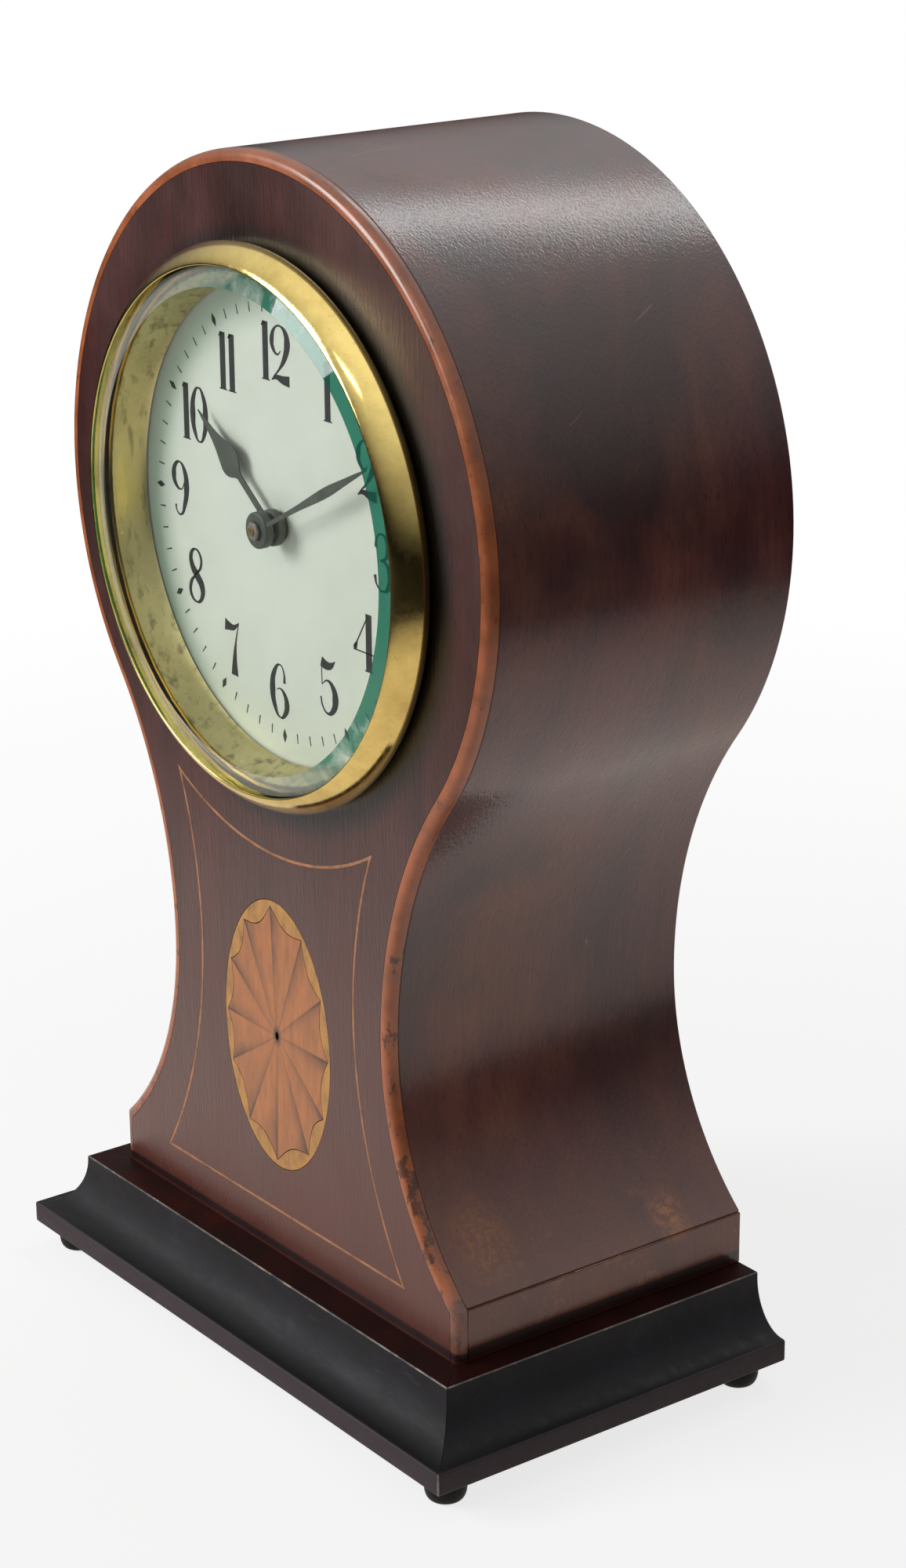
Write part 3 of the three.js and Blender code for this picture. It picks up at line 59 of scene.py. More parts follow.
# The front of the case is drawn flat: x across, y up from the top of the base, z out of the front face.
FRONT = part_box("front_board")[0].y
BASE_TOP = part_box("front_board")[0].z
BASE_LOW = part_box("base_board")[0].z
NOSE = 4.4 * MM  # height of the base moulding below its hollow
DIAL_HEIGHT = (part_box("glass")[0].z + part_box("glass")[1].z) / 2 - BASE_TOP
PLINTH_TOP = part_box("plinth_block")[1].z - BASE_TOP
PLINTH_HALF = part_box("plinth_block")[1].x
CROWN_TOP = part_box("side_veneer")[1].z - BASE_TOP


# Settings


def length(name, description, size):
    """A length setting, given in millimetres."""
    return FloatProperty(
        name=name, description=description, default=size * MM, min=0, unit="LENGTH", precision=5)


def amount(name, description, value, unit="NONE"):
    """A number setting that is never negative."""
    return FloatProperty(name=name, description=description, default=value, min=0, unit=unit)


def linear(code):
    """The linear colour of a hexadecimal screen colour."""
    parts = [int(code[i:i + 2], 16) / 255 for i in (0, 2, 4)]
    return tuple(p / 12.92 if p <= 0.04045 else ((p + 0.055) / 1.055) ** 2.4 for p in parts)


def colour(name, description, code):
    """A colour setting, given as a hexadecimal screen colour."""
    return FloatVectorProperty(
        name=name, description=description, default=linear(code), size=3, min=0, max=1, subtype="COLOR")


class ClockCase(bpy.types.PropertyGroup):
    """Sizes of the case and of its inlay."""

    crown_radius: length("Crown radius", "Radius of the round head", 65)
    waist_half: length("Half waist", "Half the width of the case at its waist", 35.1)
    waist_height: length("Waist height", "Height of the waist above the base", 54.2)
    wall: length("Wall", "Thickness of the case walls", 7)
    veneer: length("Veneer", "Thickness of the side veneer", 0.9)
    edge_string: length("Edge stringing", "Width of the stringing along the front edge", 2.2)
    glue_line: length("Glue line", "Gap between wooden pieces", 0.1)
    line_width: length("Shield line", "Width of the shield line", 0.6)
    arris: length("Arris", "Softening of the wooden edges", 0.25)


class ClockDial(bpy.types.PropertyGroup):
    """Sizes of the marks on the dial."""

    numeral_circle: length("Numeral circle", "Radius to the middle of the numerals", 30.9)
    numeral_height: length("Numeral height", "Height of the numerals", 10.4)
    tick_start: length("Tick start", "Inner radius of the minute marks", 37.8)
    tick_end: length("Tick end", "Outer radius of the minute marks", 39.6)
    tick_width: length("Tick width", "Width of a minute mark", 0.3)
    ink: length("Ink", "Height of the printed marks above the dial", 0.03)


class ClockFinish(bpy.types.PropertyGroup):
    """Colours of the clock."""

    front_wood: colour("Front veneer", "Mahogany of the front", "3b1713")
    side_wood: colour("Side veneer", "Mahogany of the sides", "4e2423")
    black_wood: colour("Base", "Ebonised wood of the base", "1d1c20")
    stringing: colour("Stringing", "Boxwood along the front edge", "944e26")
    fan: colour("Fan", "Boxwood of the fan", "a36334")
    border: colour("Fan border", "Satinwood round the fan", "a9783b")
    brass: colour("Brass", "Polished brass", "ddc478")
    enamel: colour("Dial", "White of the dial", "d8ddd1")
    ink: colour("Ink", "Numerals and minute marks", "1d1e1f")
    hands: colour("Hands", "Dark steel of the hands", "52564f")
    glass_edge: colour("Glass edge", "Green of the bevelled glass edge", "256353")


class ClockStage(bpy.types.PropertyGroup):
    """Camera and light."""

    lens: FloatProperty(name="Lens", description="Focal length in millimetres", default=80.5, min=1)
    key: amount("Key light", "Power of the main light", 9.3, "POWER")
    fill: amount("Top light", "Power of the light above", 1.6, "POWER")
    sparkle: amount("Front light", "Power of the light that shows in the brass", 0.5, "POWER")
    ambient: amount("Ambient", "Strength of the light all round", 0.28)
    room_low: amount("Room", "Brightness of the reflected room at eye level", 0.06)
    wall: amount("Wall", "Brightness of the reflected wall behind", 0.5)
    room_high: amount("Ceiling", "Brightness of the reflected ceiling", 1.35)


# Modelling steps


def draw(name, points):
    """Starts a piece as one corner and extrudes it from point to point; leaves it in edit mode."""
    bpy.ops.object.select_all(action="DESELECT")
    bpy.ops.mesh.primitive_plane_add(size=MM)
    piece = bpy.context.object
    piece.name = piece.data.name = name
    bpy.ops.object.mode_set(mode="EDIT")
    bpy.ops.mesh.select_mode(type="VERT")
    bpy.ops.mesh.merge(type="CENTER")
    corners = [Vector(p).to_3d() for p in points]
    bpy.ops.transform.translate(value=corners[0])
    for before, after in zip(corners, corners[1:]):
        bpy.ops.mesh.extrude_region_move(TRANSFORM_OT_translate={"value": after - before})
    return piece


def draw_face(name, points):
    """Draws a closed outline and fills it."""
    points = list(points)
    piece = draw(name, points + points[:1])
    bpy.ops.mesh.select_all(action="SELECT")
    bpy.ops.mesh.remove_doubles(threshold=WELD)
    bpy.ops.mesh.edge_face_add()
    return piece


def thicken(step):
    """Extrudes what is selected and turns every face outwards."""
    bpy.ops.mesh.select_all(action="SELECT")
    bpy.ops.mesh.extrude_region_move(TRANSFORM_OT_translate={"value": step})
    bpy.ops.mesh.select_all(action="SELECT")
    bpy.ops.mesh.normals_make_consistent(inside=False)
    bpy.ops.object.mode_set(mode="OBJECT")


def plate(name, points, span):
    """A flat piece of this outline between two levels."""
    back, front = span
    piece = draw_face(name, [(x, y, back) for x, y in points])
    thicken((0, 0, front - back))
    return piece


def cut_through(piece, outline, span):
    """Cuts an outline right through a flat piece that lies between two levels."""
    back, front = span
    cut(piece, plate(piece.name + "_hole", outline, (back - MM, front + MM)))


def ring_plate(name, outer, inner, span):
    """A flat band between two outlines, between two levels."""
    band = plate(name, outer, span)
    cut_through(band, inner, span)
    return band


def turn(name, profile, steps=128):
    """A turned piece: a profile of radius and level, spun round the z axis."""
    piece = draw(name, [(radius, 0, level) for radius, level in profile])
    bpy.ops.mesh.select_all(action="SELECT")
    bpy.ops.mesh.spin(steps=steps, angle=math.tau, center=(0, 0, 0), axis=(0, 0, 1))
    bpy.ops.mesh.select_all(action="SELECT")
    bpy.ops.mesh.remove_doubles(threshold=WELD)
    bpy.ops.mesh.normals_make_consistent(inside=False)
    bpy.ops.object.mode_set(mode="OBJECT")
    return piece


def activate(piece):
    """Selects one piece and nothing else."""
    bpy.ops.object.select_all(action="DESELECT")
    piece.select_set(True)
    bpy.context.view_layer.objects.active = piece


def modify(piece, kind, **settings):
    """Adds a modifier and applies it."""
    activate(piece)
    modifier = piece.modifiers.new(kind.title(), kind)
    for key, value in settings.items():
        setattr(modifier, key, value)
    bpy.ops.object.modifier_apply(modifier=modifier.name)


def cut(piece, tool):
    """Takes one piece's shape out of another."""
    modify(piece, "BOOLEAN", object=tool, operation="DIFFERENCE", solver="EXACT")
    bpy.data.objects.remove(tool, do_unlink=True)


def soften(piece, width, segments=2, angle=35, material=-1):
    """Rounds the sharp edges, and gives the rounding a material of its own where one is named."""
    while len(piece.data.materials) <= material:
        piece.data.materials.append(None)
    modify(piece, "BEVEL", width=width, segments=segments, limit_method="ANGLE",
           angle_limit=math.radians(angle), material=material, harden_normals=False)


def put(piece, matrix):
    """Moves a piece to its place and keeps the place in its mesh."""
    piece.matrix_world = matrix
    activate(piece)
    bpy.ops.object.transform_apply(location=True, rotation=True, scale=True)
    return piece


def stand(piece, x=0, y=0):
    """Stands a piece that was drawn flat upright in the front of the case."""
    return put(piece, Matrix.Translation((x, FRONT, BASE_TOP + y)) @ Matrix.Rotation(math.pi / 2, 4, "X"))


def copy_of(piece, name):
    """A copy of a piece with a mesh of its own."""
    twin = piece.copy()
    twin.data = piece.data.copy()
    twin.name = twin.data.name = name
    bpy.context.collection.objects.link(twin)
    return twin


def gather(name, pieces):
    """Joins pieces into the first of them."""
    activate(pieces[0])
    for piece in pieces[1:]:
        piece.select_set(True)
    bpy.ops.object.join()
    pieces[0].name = pieces[0].data.name = name
    return pieces[0]


def finished(piece, body, finish_names, nodes=(), smooth=20):
    """Gives a piece its materials and shading, and ties it to the frame."""
    activate(piece)
    bpy.ops.object.shade_smooth_by_angle(angle=math.radians(smooth))
    for index, name in enumerate(finish_names):
        if index < len(piece.data.materials):
            piece.data.materials[index] = finish(name)
        else:
            piece.data.materials.append(finish(name))
    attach(piece, body)
    if nodes:
        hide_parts(*nodes)
    return piece


def levels(node):
    """Back and front of a node, as levels before the front face of the case."""
    low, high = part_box(node)
    return FRONT - high.y, FRONT - low.y


# Outlines


def arc(centre, radius, start, end, steps):
    """Points along an arc between two angles in degrees."""
    angles = [math.radians(start + (end - start) * i / steps) for i in range(steps + 1)]
    return [(centre[0] + radius * math.cos(a), centre[1] + radius * math.sin(a)) for a in angles]


def circle(centre, radius):
    """Corners of a round hole."""
    return arc(centre, radius, 0, 360, 128)[:-1]


def mirrored(points):
    """The other half of an outline."""
    return [(-x, y) for x, y in reversed(points)]


def bow(out, rise):
    """Radius of an arc that starts upright and moves out by this much over a rise."""
    return (out ** 2 + rise ** 2) / (2 * out)


def case_edge(case, inset, start=None):
    """The edge of the case from the right foot over the head to the left foot."""
    crown = CROWN_TOP - case.crown_radius
    rise = crown - case.waist_height
    shoulder = (case.waist_half ** 2 + rise ** 2 - case.crown_radius ** 2) / (
        2 * (case.crown_radius - case.waist_half))
    flare = bow(PLINTH_HALF - case.waist_half, case.waist_height - PLINTH_TOP)
    lean = math.degrees(math.atan2(rise, case.waist_half + shoulder))
    edge = PLINTH_HALF - inset
    foot = [(edge, 0)] if start is None else []
    if start is None:
        across = case.waist_half + flare - edge
        start = case.waist_height - math.sqrt((flare + inset) ** 2 - across ** 2)
    low = math.degrees(math.asin((case.waist_height - start) / (flare + inset)))
    right = foot + arc((case.waist_half + flare, case.waist_height), flare + inset, 180 + low, 180, 24)
    right += arc((case.waist_half + shoulder, case.waist_height), shoulder + inset, 180, 180 - lean, 24)[1:]
    right += arc((0, crown), case.crown_radius - inset, -lean, 90, 64)[1:]
    return right + mirrored(right)[1:]


SHIELD_LINE = 0.4 * MM  # middle of the shield line, from the outside of its measured part
SHIELD_TOP = 60.8 * MM  # radius of its upper edge, round the middle of the dial
SHIELD_CORNER = 30.6 * MM  # half its width at the upper corners
SHIELD_WAIST = 24.6 * MM  # half its width at the narrowest place
SHIELD_WAIST_HEIGHT = 57 * MM


def shield_edge(grow):
    """The shield round the fan, grown outwards by this much."""
    low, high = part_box("shield_stringing")
    bottom = (high.x - low.x) / 2 - SHIELD_LINE
    floor = low.z - BASE_TOP + SHIELD_LINE
    drop = math.sqrt(SHIELD_TOP ** 2 - SHIELD_CORNER ** 2)
    upper = bow(SHIELD_CORNER - SHIELD_WAIST, DIAL_HEIGHT - drop - SHIELD_WAIST_HEIGHT)
    lower = bow(bottom - SHIELD_WAIST, SHIELD_WAIST_HEIGHT - floor)
    side, brow = upper - grow, SHIELD_TOP - grow
    across = Vector((SHIELD_WAIST + upper, SHIELD_WAIST_HEIGHT - DIAL_HEIGHT))
    along = (brow ** 2 - side ** 2 + across.length_squared) / (2 * across.length)
    bearing = math.degrees(math.atan2(across.y, across.x) - math.acos(along / brow))
    corner = arc((0, DIAL_HEIGHT), brow, bearing, bearing, 1)[0]
    reach = math.degrees(math.asin((corner[1] - SHIELD_WAIST_HEIGHT) / side))
    low_turn = math.degrees(math.asin((SHIELD_WAIST_HEIGHT - floor + grow) / (lower - grow)))
    right = arc((SHIELD_WAIST + lower, SHIELD_WAIST_HEIGHT), lower - grow, 180 + low_turn, 180, 24)
    right += arc((SHIELD_WAIST + upper, SHIELD_WAIST_HEIGHT), side, 180, 180 - reach, 20)[1:]
    top = arc((0, DIAL_HEIGHT), brow, bearing, -180 - bearing, 36)[1:-1]
    return right + top + mirrored(right)


# Bearings of the fan's hand-cut ribs in degrees, in an oval drawn out to a circle
RIBS = (-93, -54.2, -27.3, 0.6, 27.5, 58.1, 94.5, 127.8, 154.9, 179.6, 202.4, 232.7)
CUSP = 0.965  # tip of a rib, as a share of the oval's radius
SCALLOP = 0.85  # edge between two ribs
FULL_PETAL = 28  # degrees from which a petal's edge has its full depth
OVAL_STEPS = 96


def fan_oval():
    """Middle and half sizes of the oval."""
    low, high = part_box("fan_inlay_border")
    middle = Vector((0, (low.z + high.z) / 2 - BASE_TOP))
    return middle, Vector(((high.x - low.x) / 2, (high.z - low.z) / 2))


def oval_point(share, bearing):
    """A point in the oval at a share of its radius."""
    middle, half = fan_oval()
    a = math.radians(bearing)
    return middle.x + half.x * share * math.cos(a), middle.y + half.y * share * math.sin(a)


def oval(share):
    """The outline of the oval at a share of its radius."""
    return [oval_point(share, 360 * i / OVAL_STEPS) for i in range(OVAL_STEPS)]


def scallop(start, end, shrink=0.0, steps=12):
    """The outer edge of one petal, from rib to rib."""
    points = []
    depth = (CUSP - SCALLOP) * min(1.0, (end - start) / FULL_PETAL)
    for i in range(steps + 1):
        t = i / steps
        dip = depth * (1 - (2 * t - 1) ** 2)
        points.append(oval_point(CUSP - shrink - dip, start + (end - start) * t))
    return points


# Numerals: strokes of x, y and width, in tenths of the numeral's height, on a line or a closed ring
GRID = 10
STROKES = {
    "0": [("ring", [(0, 9.75, 0.25), (1.5, 8.2, 0.95), (2, 5, 1.5), (1.5, 1.8, 0.95), (0, 0.15, 0.25),
                    (-1.5, 1.8, 0.95), (-2, 5, 1.5), (-1.5, 8.2, 0.95)])],
    "1": [("line", [(0, 10, 1.45), (0, 5, 1.45), (0, 0.05, 1.45)]),
          ("line", [(-1.2, 0.1, 0.2), (1.2, 0.1, 0.2)]),
          ("line", [(-1.1, 9.2, 0.2), (-0.5, 9.6, 0.4), (0, 9.8, 0.4)])],
    "2": [("line", [(0.1, 5.6, 0.2), (-0.8, 4.9, 0.3), (-2.1, 5.8, 0.8), (-2.4, 7.4, 1.1), (-1.2, 9.5, 0.35),
                    (0.3, 9.75, 0.3), (1.7, 8.7, 1.1), (2.1, 7, 1.55), (1.3, 4.6, 1.1), (-0.4, 2.4, 0.4),
                    (-2.1, 0.95, 0.2)]),
          ("line", [(-2.7, 0.35, 0.2), (-1.4, 0.95, 0.7), (0.6, 0.75, 1.3), (2.6, 0.75, 1.7)])],
    "3": [("line", [(-1.8, 7.3, 0.75), (-1.6, 8.8, 0.4), (-0.2, 9.8, 0.25), (1.4, 8.7, 1), (1.6, 7.3, 1.15),
                    (0.8, 5.8, 0.6), (-0.7, 5.3, 0.2)]),
          ("line", [(-0.7, 5.3, 0.2), (0.9, 5, 0.5), (2.1, 3.3, 1.4), (1.7, 1.3, 1.1), (0.1, 0.15, 0.3),
                    (-1.6, 0.9, 0.35), (-2.2, 2.6, 0.7)])],
    "4": [("line", [(1.3, 10, 1.5), (1.3, 5, 1.5), (1.3, 0.05, 1.5)]),
          ("line", [(1, 9.6, 0.22), (-2.8, 3.5, 0.3)]),
          ("line", [(-1.9, 4.9, 0.2), (-2.55, 3.7, 0.9), (-2.7, 3.3, 0.9)]),
          ("line", [(-3.1, 3.2, 0.22), (2.7, 3.2, 0.22)]), ("line", [(0.1, 0.1, 0.2), (2.5, 0.1, 0.2)])],
    "5": [("line", [(-1.9, 9.1, 1.6), (-0.7, 8.7, 1.5), (0.8, 8.8, 1.1), (2.2, 9.9, 0.1)]),
          ("line", [(-1.85, 9, 0.22), (-1.75, 5, 0.22)]),
          ("line", [(-1.7, 5.1, 0.15), (-0.2, 6, 0.3), (1.5, 5, 1.1), (2.1, 3, 1.6), (1.3, 0.9, 1),
                    (-0.3, 0.15, 0.35), (-1.7, 1.2, 0.35), (-2.2, 2.8, 0.4)])],
    "6": [("line", [(1.6, 6.6, 0.7), (1.5, 8.3, 0.4), (0.4, 9.7, 0.22), (-1.5, 8, 1), (-2.1, 5, 1.5),
                    (-1.6, 2.2, 1.1), (0.1, 0.15, 0.25), (1.7, 1.2, 1), (2.2, 2.8, 1.35), (1.5, 4.6, 0.8),
                    (0.2, 5.4, 0.22), (-0.8, 5, 0.15)])],
    "7": [("line", [(-2.2, 8.9, 2), (-1.1, 8.8, 1.4), (0.5, 8.8, 0.9), (2.2, 9.9, 0.2)]),
          ("line", [(2.1, 9.8, 0.15), (1.1, 6.4, 0.4), (0.6, 3, 1.1), (0.5, 0.05, 1.9)])],
    "8": [("ring", [(0, 9.8, 0.3), (-1.5, 8.6, 0.9), (-1.2, 6.6, 1.3), (0.3, 5, 1.6), (1.8, 3.2, 1.5),
                    (1.6, 1.2, 0.9), (0, 0.15, 0.3), (-1.8, 1.3, 0.75), (-1.8, 3.2, 0.8), (-0.1, 5.2, 0.3),
                    (1.5, 6.8, 0.6), (1.5, 8.8, 0.6)])],
    "9": [("line", [(1.3, 6.2, 0.2), (0.2, 4.9, 0.22), (-1.6, 5.8, 0.9), (-2, 7.4, 1.3), (-1.4, 9.1, 0.8),
                    (0, 9.8, 0.25), (1.6, 8.2, 1.1), (2, 5.6, 1.5), (1.3, 2.4, 1), (-0.2, 0.25, 0.3),
                    (-1.5, 1, 0.3), (-1.6, 1.9, 0.5)])],
}
ADVANCE = {"10": (-2.6, 1.5), "11": (-1.4, 1.4), "12": (-3.1, 1.3)}  # places of two digits
# Millimetres right and up from a numeral's even place on the dial
NUMERAL_SHIFT = {
    4: (-1.6, 0.1), 5: (-1.5, 0.6), 6: (-1.4, 0.2), 7: (-0.9, 0.5), 8: (-1.1, 0.3), 9: (-1.4, 0.4)}
BOLD = 1.12  # weight of the strokes
RIBBON_TILT = math.pi / 2  # lays a stroke flat in the plane of the dial


def numeral(text, height):
    """A numeral drawn with broad and hairline strokes, made a mesh."""
    curve = bpy.data.curves.new("numeral_" + text, "CURVE")
    curve.dimensions = "3D"
    curve.twist_mode = "Z_UP"
    curve.extrude = 0.5
    curve.resolution_u = 10
    for shift, digit in zip(ADVANCE.get(text, (0,)), text):
        for kind, points in STROKES[digit]:
            spline = curve.splines.new("BEZIER")
            spline.use_cyclic_u = kind == "ring"
            spline.bezier_points.add(len(points) - 1)
            for knot, (x, y, width) in zip(spline.bezier_points, points):
                knot.co = (x + shift, y - GRID / 2, 0)
                knot.radius = width * BOLD
                knot.tilt = RIBBON_TILT
                knot.handle_left_type = knot.handle_right_type = "AUTO"
    piece = bpy.data.objects.new("numeral_" + text, curve)
    bpy.context.collection.objects.link(piece)
    activate(piece)
    bpy.ops.object.convert(target="MESH")
    piece = bpy.context.object
    piece.scale = (height / GRID,) * 3
    bpy.ops.object.transform_apply(location=True, rotation=True, scale=True)
    return piece


# Materials


class Paint:
    """The nodes of a new material, with short ways to add and join them."""

    def __init__(self, name):
        self.material = bpy.data.materials.new(name)
        self.material.use_nodes = True
        self.tree = self.material.node_tree
        self.shader = self.tree.nodes["Principled BSDF"]

    def add(self, kind, inputs=None, **settings):
        """Adds a node with its settings and what goes into it."""
        node = self.tree.nodes.new(kind)
        for key, value in settings.items():
            setattr(node, key, value)
        for key, value in (inputs or {}).items():
            self.feed(node.inputs[key], value)
        return node

    def feed(self, socket, value):
        """Links a socket to another, or sets its value."""
        if isinstance(value, bpy.types.NodeSocket):
            self.tree.links.new(value, socket)
        elif socket.type == "RGBA" and len(value) == 3:
            socket.default_value = (*value, 1)
        else:
            socket.default_value = value

    def surface(self, **inputs):
        """Feeds inputs of the main shader, named with _ for a space."""
        for key, value in inputs.items():
            self.feed(self.shader.inputs[key.replace("_", " ")], value)

    def place(self, scale=(1, 1, 1), centre=(0, 0, 0)):
        """The place on the object, from a centre and scaled."""
        source = self.add("ShaderNodeTexCoord").outputs["Object"]
        moved = tuple(-c * s for c, s in zip(centre, scale))
        mapping = self.add("ShaderNodeMapping", {"Vector": source, "Scale": scale, "Location": moved})
        return mapping.outputs["Vector"]

    def noise(self, scale, detail, rough, stretch=(1, 1, 1), twist=0.0):
        """A cloudy pattern, drawn out along an axis whose stretch is small."""
        node = self.add("ShaderNodeTexNoise", {
            "Vector": self.place(stretch), "Scale": scale, "Detail": detail, "Roughness": rough,
            "Distortion": twist})
        return node.outputs["Fac"]

    def ramp(self, factor, *stops):
        """Runs through tones, each given with its place."""
        node = self.add("ShaderNodeValToRGB", {"Fac": factor})
        elements = node.color_ramp.elements
        while len(elements) < len(stops):
            elements.new(1)
        for element, (place, tone) in zip(elements, stops):
            element.position = place
            element.color = (tone, tone, tone, 1) if isinstance(tone, float) else (*tone, 1)
        return node.outputs["Color"]

    def mix(self, factor, a, b):
        """Mixes two colours."""
        node = self.add("ShaderNodeMix", data_type="RGBA")
        for index, value in ((0, factor), (6, a), (7, b)):
            self.feed(node.inputs[index], value)
        return node.outputs[2]

    def maths(self, how, a, b):
        """One sum with two numbers."""
        node = self.add("ShaderNodeMath", {0: a, 1: b}, operation=how)
        return node.outputs[0]

    def span(self, value, low, high, start=0.0, end=1.0):
        """Turns one range of numbers into another."""
        node = self.add("ShaderNodeMapRange", {
            "Value": value, "From Min": low, "From Max": high, "To Min": start, "To Max": end})
        return node.outputs["Result"]

    def axis(self, name):
        """One coordinate of the place on the object."""
        split = self.add("ShaderNodeSeparateXYZ", {"Vector": self.place()})
        return split.outputs[name]

    def distance(self, centre=(0, 0, 0), scale=(1, 1, 1)):
        """How far the place on the object is from a centre."""
        away = self.add("ShaderNodeVectorMath", {0: self.place(scale, centre)}, operation="LENGTH")
        return away.outputs["Value"]

    def mottle(self, factor, tone, dark, light, stops):
        """Runs from a darker to a lighter shade of one tone."""
        low, middle, high = stops
        return self.ramp(factor, (low, shade(tone, dark)), (middle, tone), (high, shade(tone, light)))

    def rough(self, factor, low, high):
        """Makes the surface duller where the pattern is high."""
        self.surface(Roughness=self.span(factor, 0.3, 0.7, low, high))

    def relief(self, height, strength, distance):
        """Raises and sinks the surface by a pattern."""
        bump = self.add("ShaderNodeBump", {"Height": height, "Strength": strength, "Distance": distance})
        self.surface(Normal=bump.outputs["Normal"])


class RoomPaint(Paint):
    """The nodes of a new world."""

    def __init__(self, name):
        self.world = bpy.data.worlds.new(name)
        self.world.use_nodes = True
        self.tree = self.world.node_tree
        self.shader = self.tree.nodes["Background"]


def shade(tone, factor):
    """A lighter or darker colour."""
    return tuple(min(1.0, c * factor) for c in tone)


def colours():
    """The colour settings."""
    return bpy.context.scene.clock_finish


# Screen colours of wear, stains, tarnish, inner parts and painted light and shade, which have no setting
TONES = {
    "foot_shadow": "170706", "seam_highlight": "4a180f", "grime_and_shadow": "0c0605",
    "front_low": "5c2d20", "side_low": "6a3b28", "side_warm": "74422f", "side_smoke": "271c1f",
    "scratch": "8d6a55", "rubbed": "9a6236", "bare": "b07038",
    "back_warm": "5a3626", "back_smoke": "2c1c18",
    "pine": "8a6238", "pine_warm": "a07545", "pine_smoke": "6d4a28",
    "scuff": "3a3638", "hollow": "09090b", "nose": "362d31",
    "ledge_dark": "160706", "ledge": "240c09", "ledge_reflected_red": "3e150f",
    "worn": "57524b", "worn_pale": "9a8f82",
    "string_stain": "3c1c10", "string_foot": "5a3a30", "shield_line": "9a6746",
    "scorch": "4a2f20", "petal_seam": "1e130d", "fan_eye": "2a1a12",
    "bezel_tarnish": "826a35", "case_tarnish": "8a7038", "works_tarnish": "8a6d34",
    "sight": "d2c68e", "sight_tarnish": "8f8450", "sight_reflection_streak": "4d4529",
    "steel": "a3a6aa", "steel_tarnish": "5c5d60", "nut": "857c72",
    "dial_stain": "a79d86", "dial_scratch": "8f938f",
    "haze": "dfe8e4", "bevel_haze": "c9cfc9", "bevel": "5fae98",
}


def toned(name):
    """The linear colour of a named tone."""
    return linear(TONES[name])


COARSE = 0.2 * MM  # depth of the grain and scuffs
FINE = 0.1 * MM  # depth of rubbing marks
# How far each pattern of the wood is drawn out along the grain, which runs upright
FIGURE_GRAIN = (0.7, 0.7, 0.09)
FIBRE_GRAIN = (1, 1, 0.035)
PORE_GRAIN = (1, 1, 0.16)


def veneer(paint, tone, warm, smoke):
    """Colour of polished wood, the clouding of its polish, and the height of its grain."""
    figure = paint.noise(110, 5, 0.62, FIGURE_GRAIN, 0.6)
    fibre = paint.noise(1300, 3, 0.65, FIBRE_GRAIN)
    pores = paint.noise(2300, 2, 0.5, PORE_GRAIN)
    cloud = paint.noise(18, 5, 0.62, (1, 1, 0.7))
    drift = paint.noise(13, 4, 0.55, twist=0.5)
    body = paint.mottle(figure, tone, 0.5, 1.6, (0.3, 0.5, 0.72))
    body = paint.mix(paint.span(cloud, 0.44, 0.6, 0, 0.9), body, warm)
    body = paint.mix(paint.span(drift, 0.48, 0.6, 0, 0.8), body, smoke)
    body = paint.mix(paint.span(fibre, 0.4, 0.7, 0, 0.3), body, shade(tone, 0.45))
    body = paint.mix(paint.span(pores, 0.6, 0.74, 0, 0.6), body, shade(tone, 0.2))
    return body, cloud, paint.maths("ADD", fibre, pores)


def scratched(paint, body, tone):
    """Short fine scratches: thin lines of a slow pattern, broken up by a quicker one."""
    slow = paint.noise(26, 2, 0.5, (1, 0.5, 1), 0.4)
    path = paint.maths("ABSOLUTE", paint.maths("SUBTRACT", slow, 0.5), 0.0)
    broken = paint.span(paint.noise(75, 3, 0.5), 0.6, 0.64)
    line = paint.maths("MULTIPLY", paint.span(path, 0.0008, 0.0025, 0.6, 0), broken)
    return paint.mix(line, body, tone)


# Heights over which a colour fades out: the dark strip's, from its own top, and the painted highlight line's
# at the seam, from the base
STRIP_FADE = (-0.3 * MM, 0.2 * MM)
SEAM_HIGHLIGHT_FADE = (0.35 * MM, 0.7 * MM)


def footed(paint, body, rise):
    """Darkens wood that stands on the base, black up to this height, with a painted red highlight line at the
    seam.
    """
    height = paint.maths("SUBTRACT", paint.axis("Z"), BASE_TOP)
    strip = paint.span(height, rise + STRIP_FADE[0], rise + STRIP_FADE[1], 0.95, 0)
    body = paint.mix(strip, body, toned("foot_shadow"))
    # painted highlight: a red line along the seam with the base
    return paint.mix(paint.span(height, *SEAM_HIGHLIGHT_FADE, 0.8, 0), body, toned("seam_highlight"))


def polished(paint, body, cloud, grain, gloss, coat, coat_gloss=0.2, shine=0.5):
    """Old polish over wood, duller where it is clouded."""
    paint.surface(Base_Color=body, Roughness=paint.span(cloud, 0.32, 0.68, gloss - 0.06, gloss + 0.24))
    paint.surface(Coat_Weight=coat, Coat_Roughness=coat_gloss, Specular_IOR_Level=shine)
    paint.relief(grain, 0.3, COARSE)
    film = paint.add("ShaderNodeBump", {"Height": grain, "Strength": 0.16, "Distance": COARSE})
    paint.surface(Coat_Normal=film.outputs["Normal"])
    return paint.material


# Heights above the floor over which the front's and sides' warm foot, the sides' rubbing and the
# stringing's stains fade out
FRONT_LOW = (30 * MM, 120 * MM)
SIDE_LOW = (30 * MM, 70 * MM)
RUB_LOW = (26 * MM, 50 * MM)
STAIN_LOW = (30 * MM, 140 * MM)
# Heights of the dark strip at the foot of the front, the sides and the stringing
FRONT_STRIP = 2.1 * MM
SIDE_STRIP = 2.8 * MM
STRING_STRIP = 2.0 * MM
GRIME_AND_SHADOW_MIDDLE = (1.6 * MM, -0.6 * MM)  # middle of the grime and painted shadow, right and up from the middle of the dial, towards where the bezel's shadow falls
GRIME_AND_SHADOW_FADE = (0.6 * MM, 4.6 * MM)  # outwards from the bezel's rim, over which the grime and painted shadow fade out
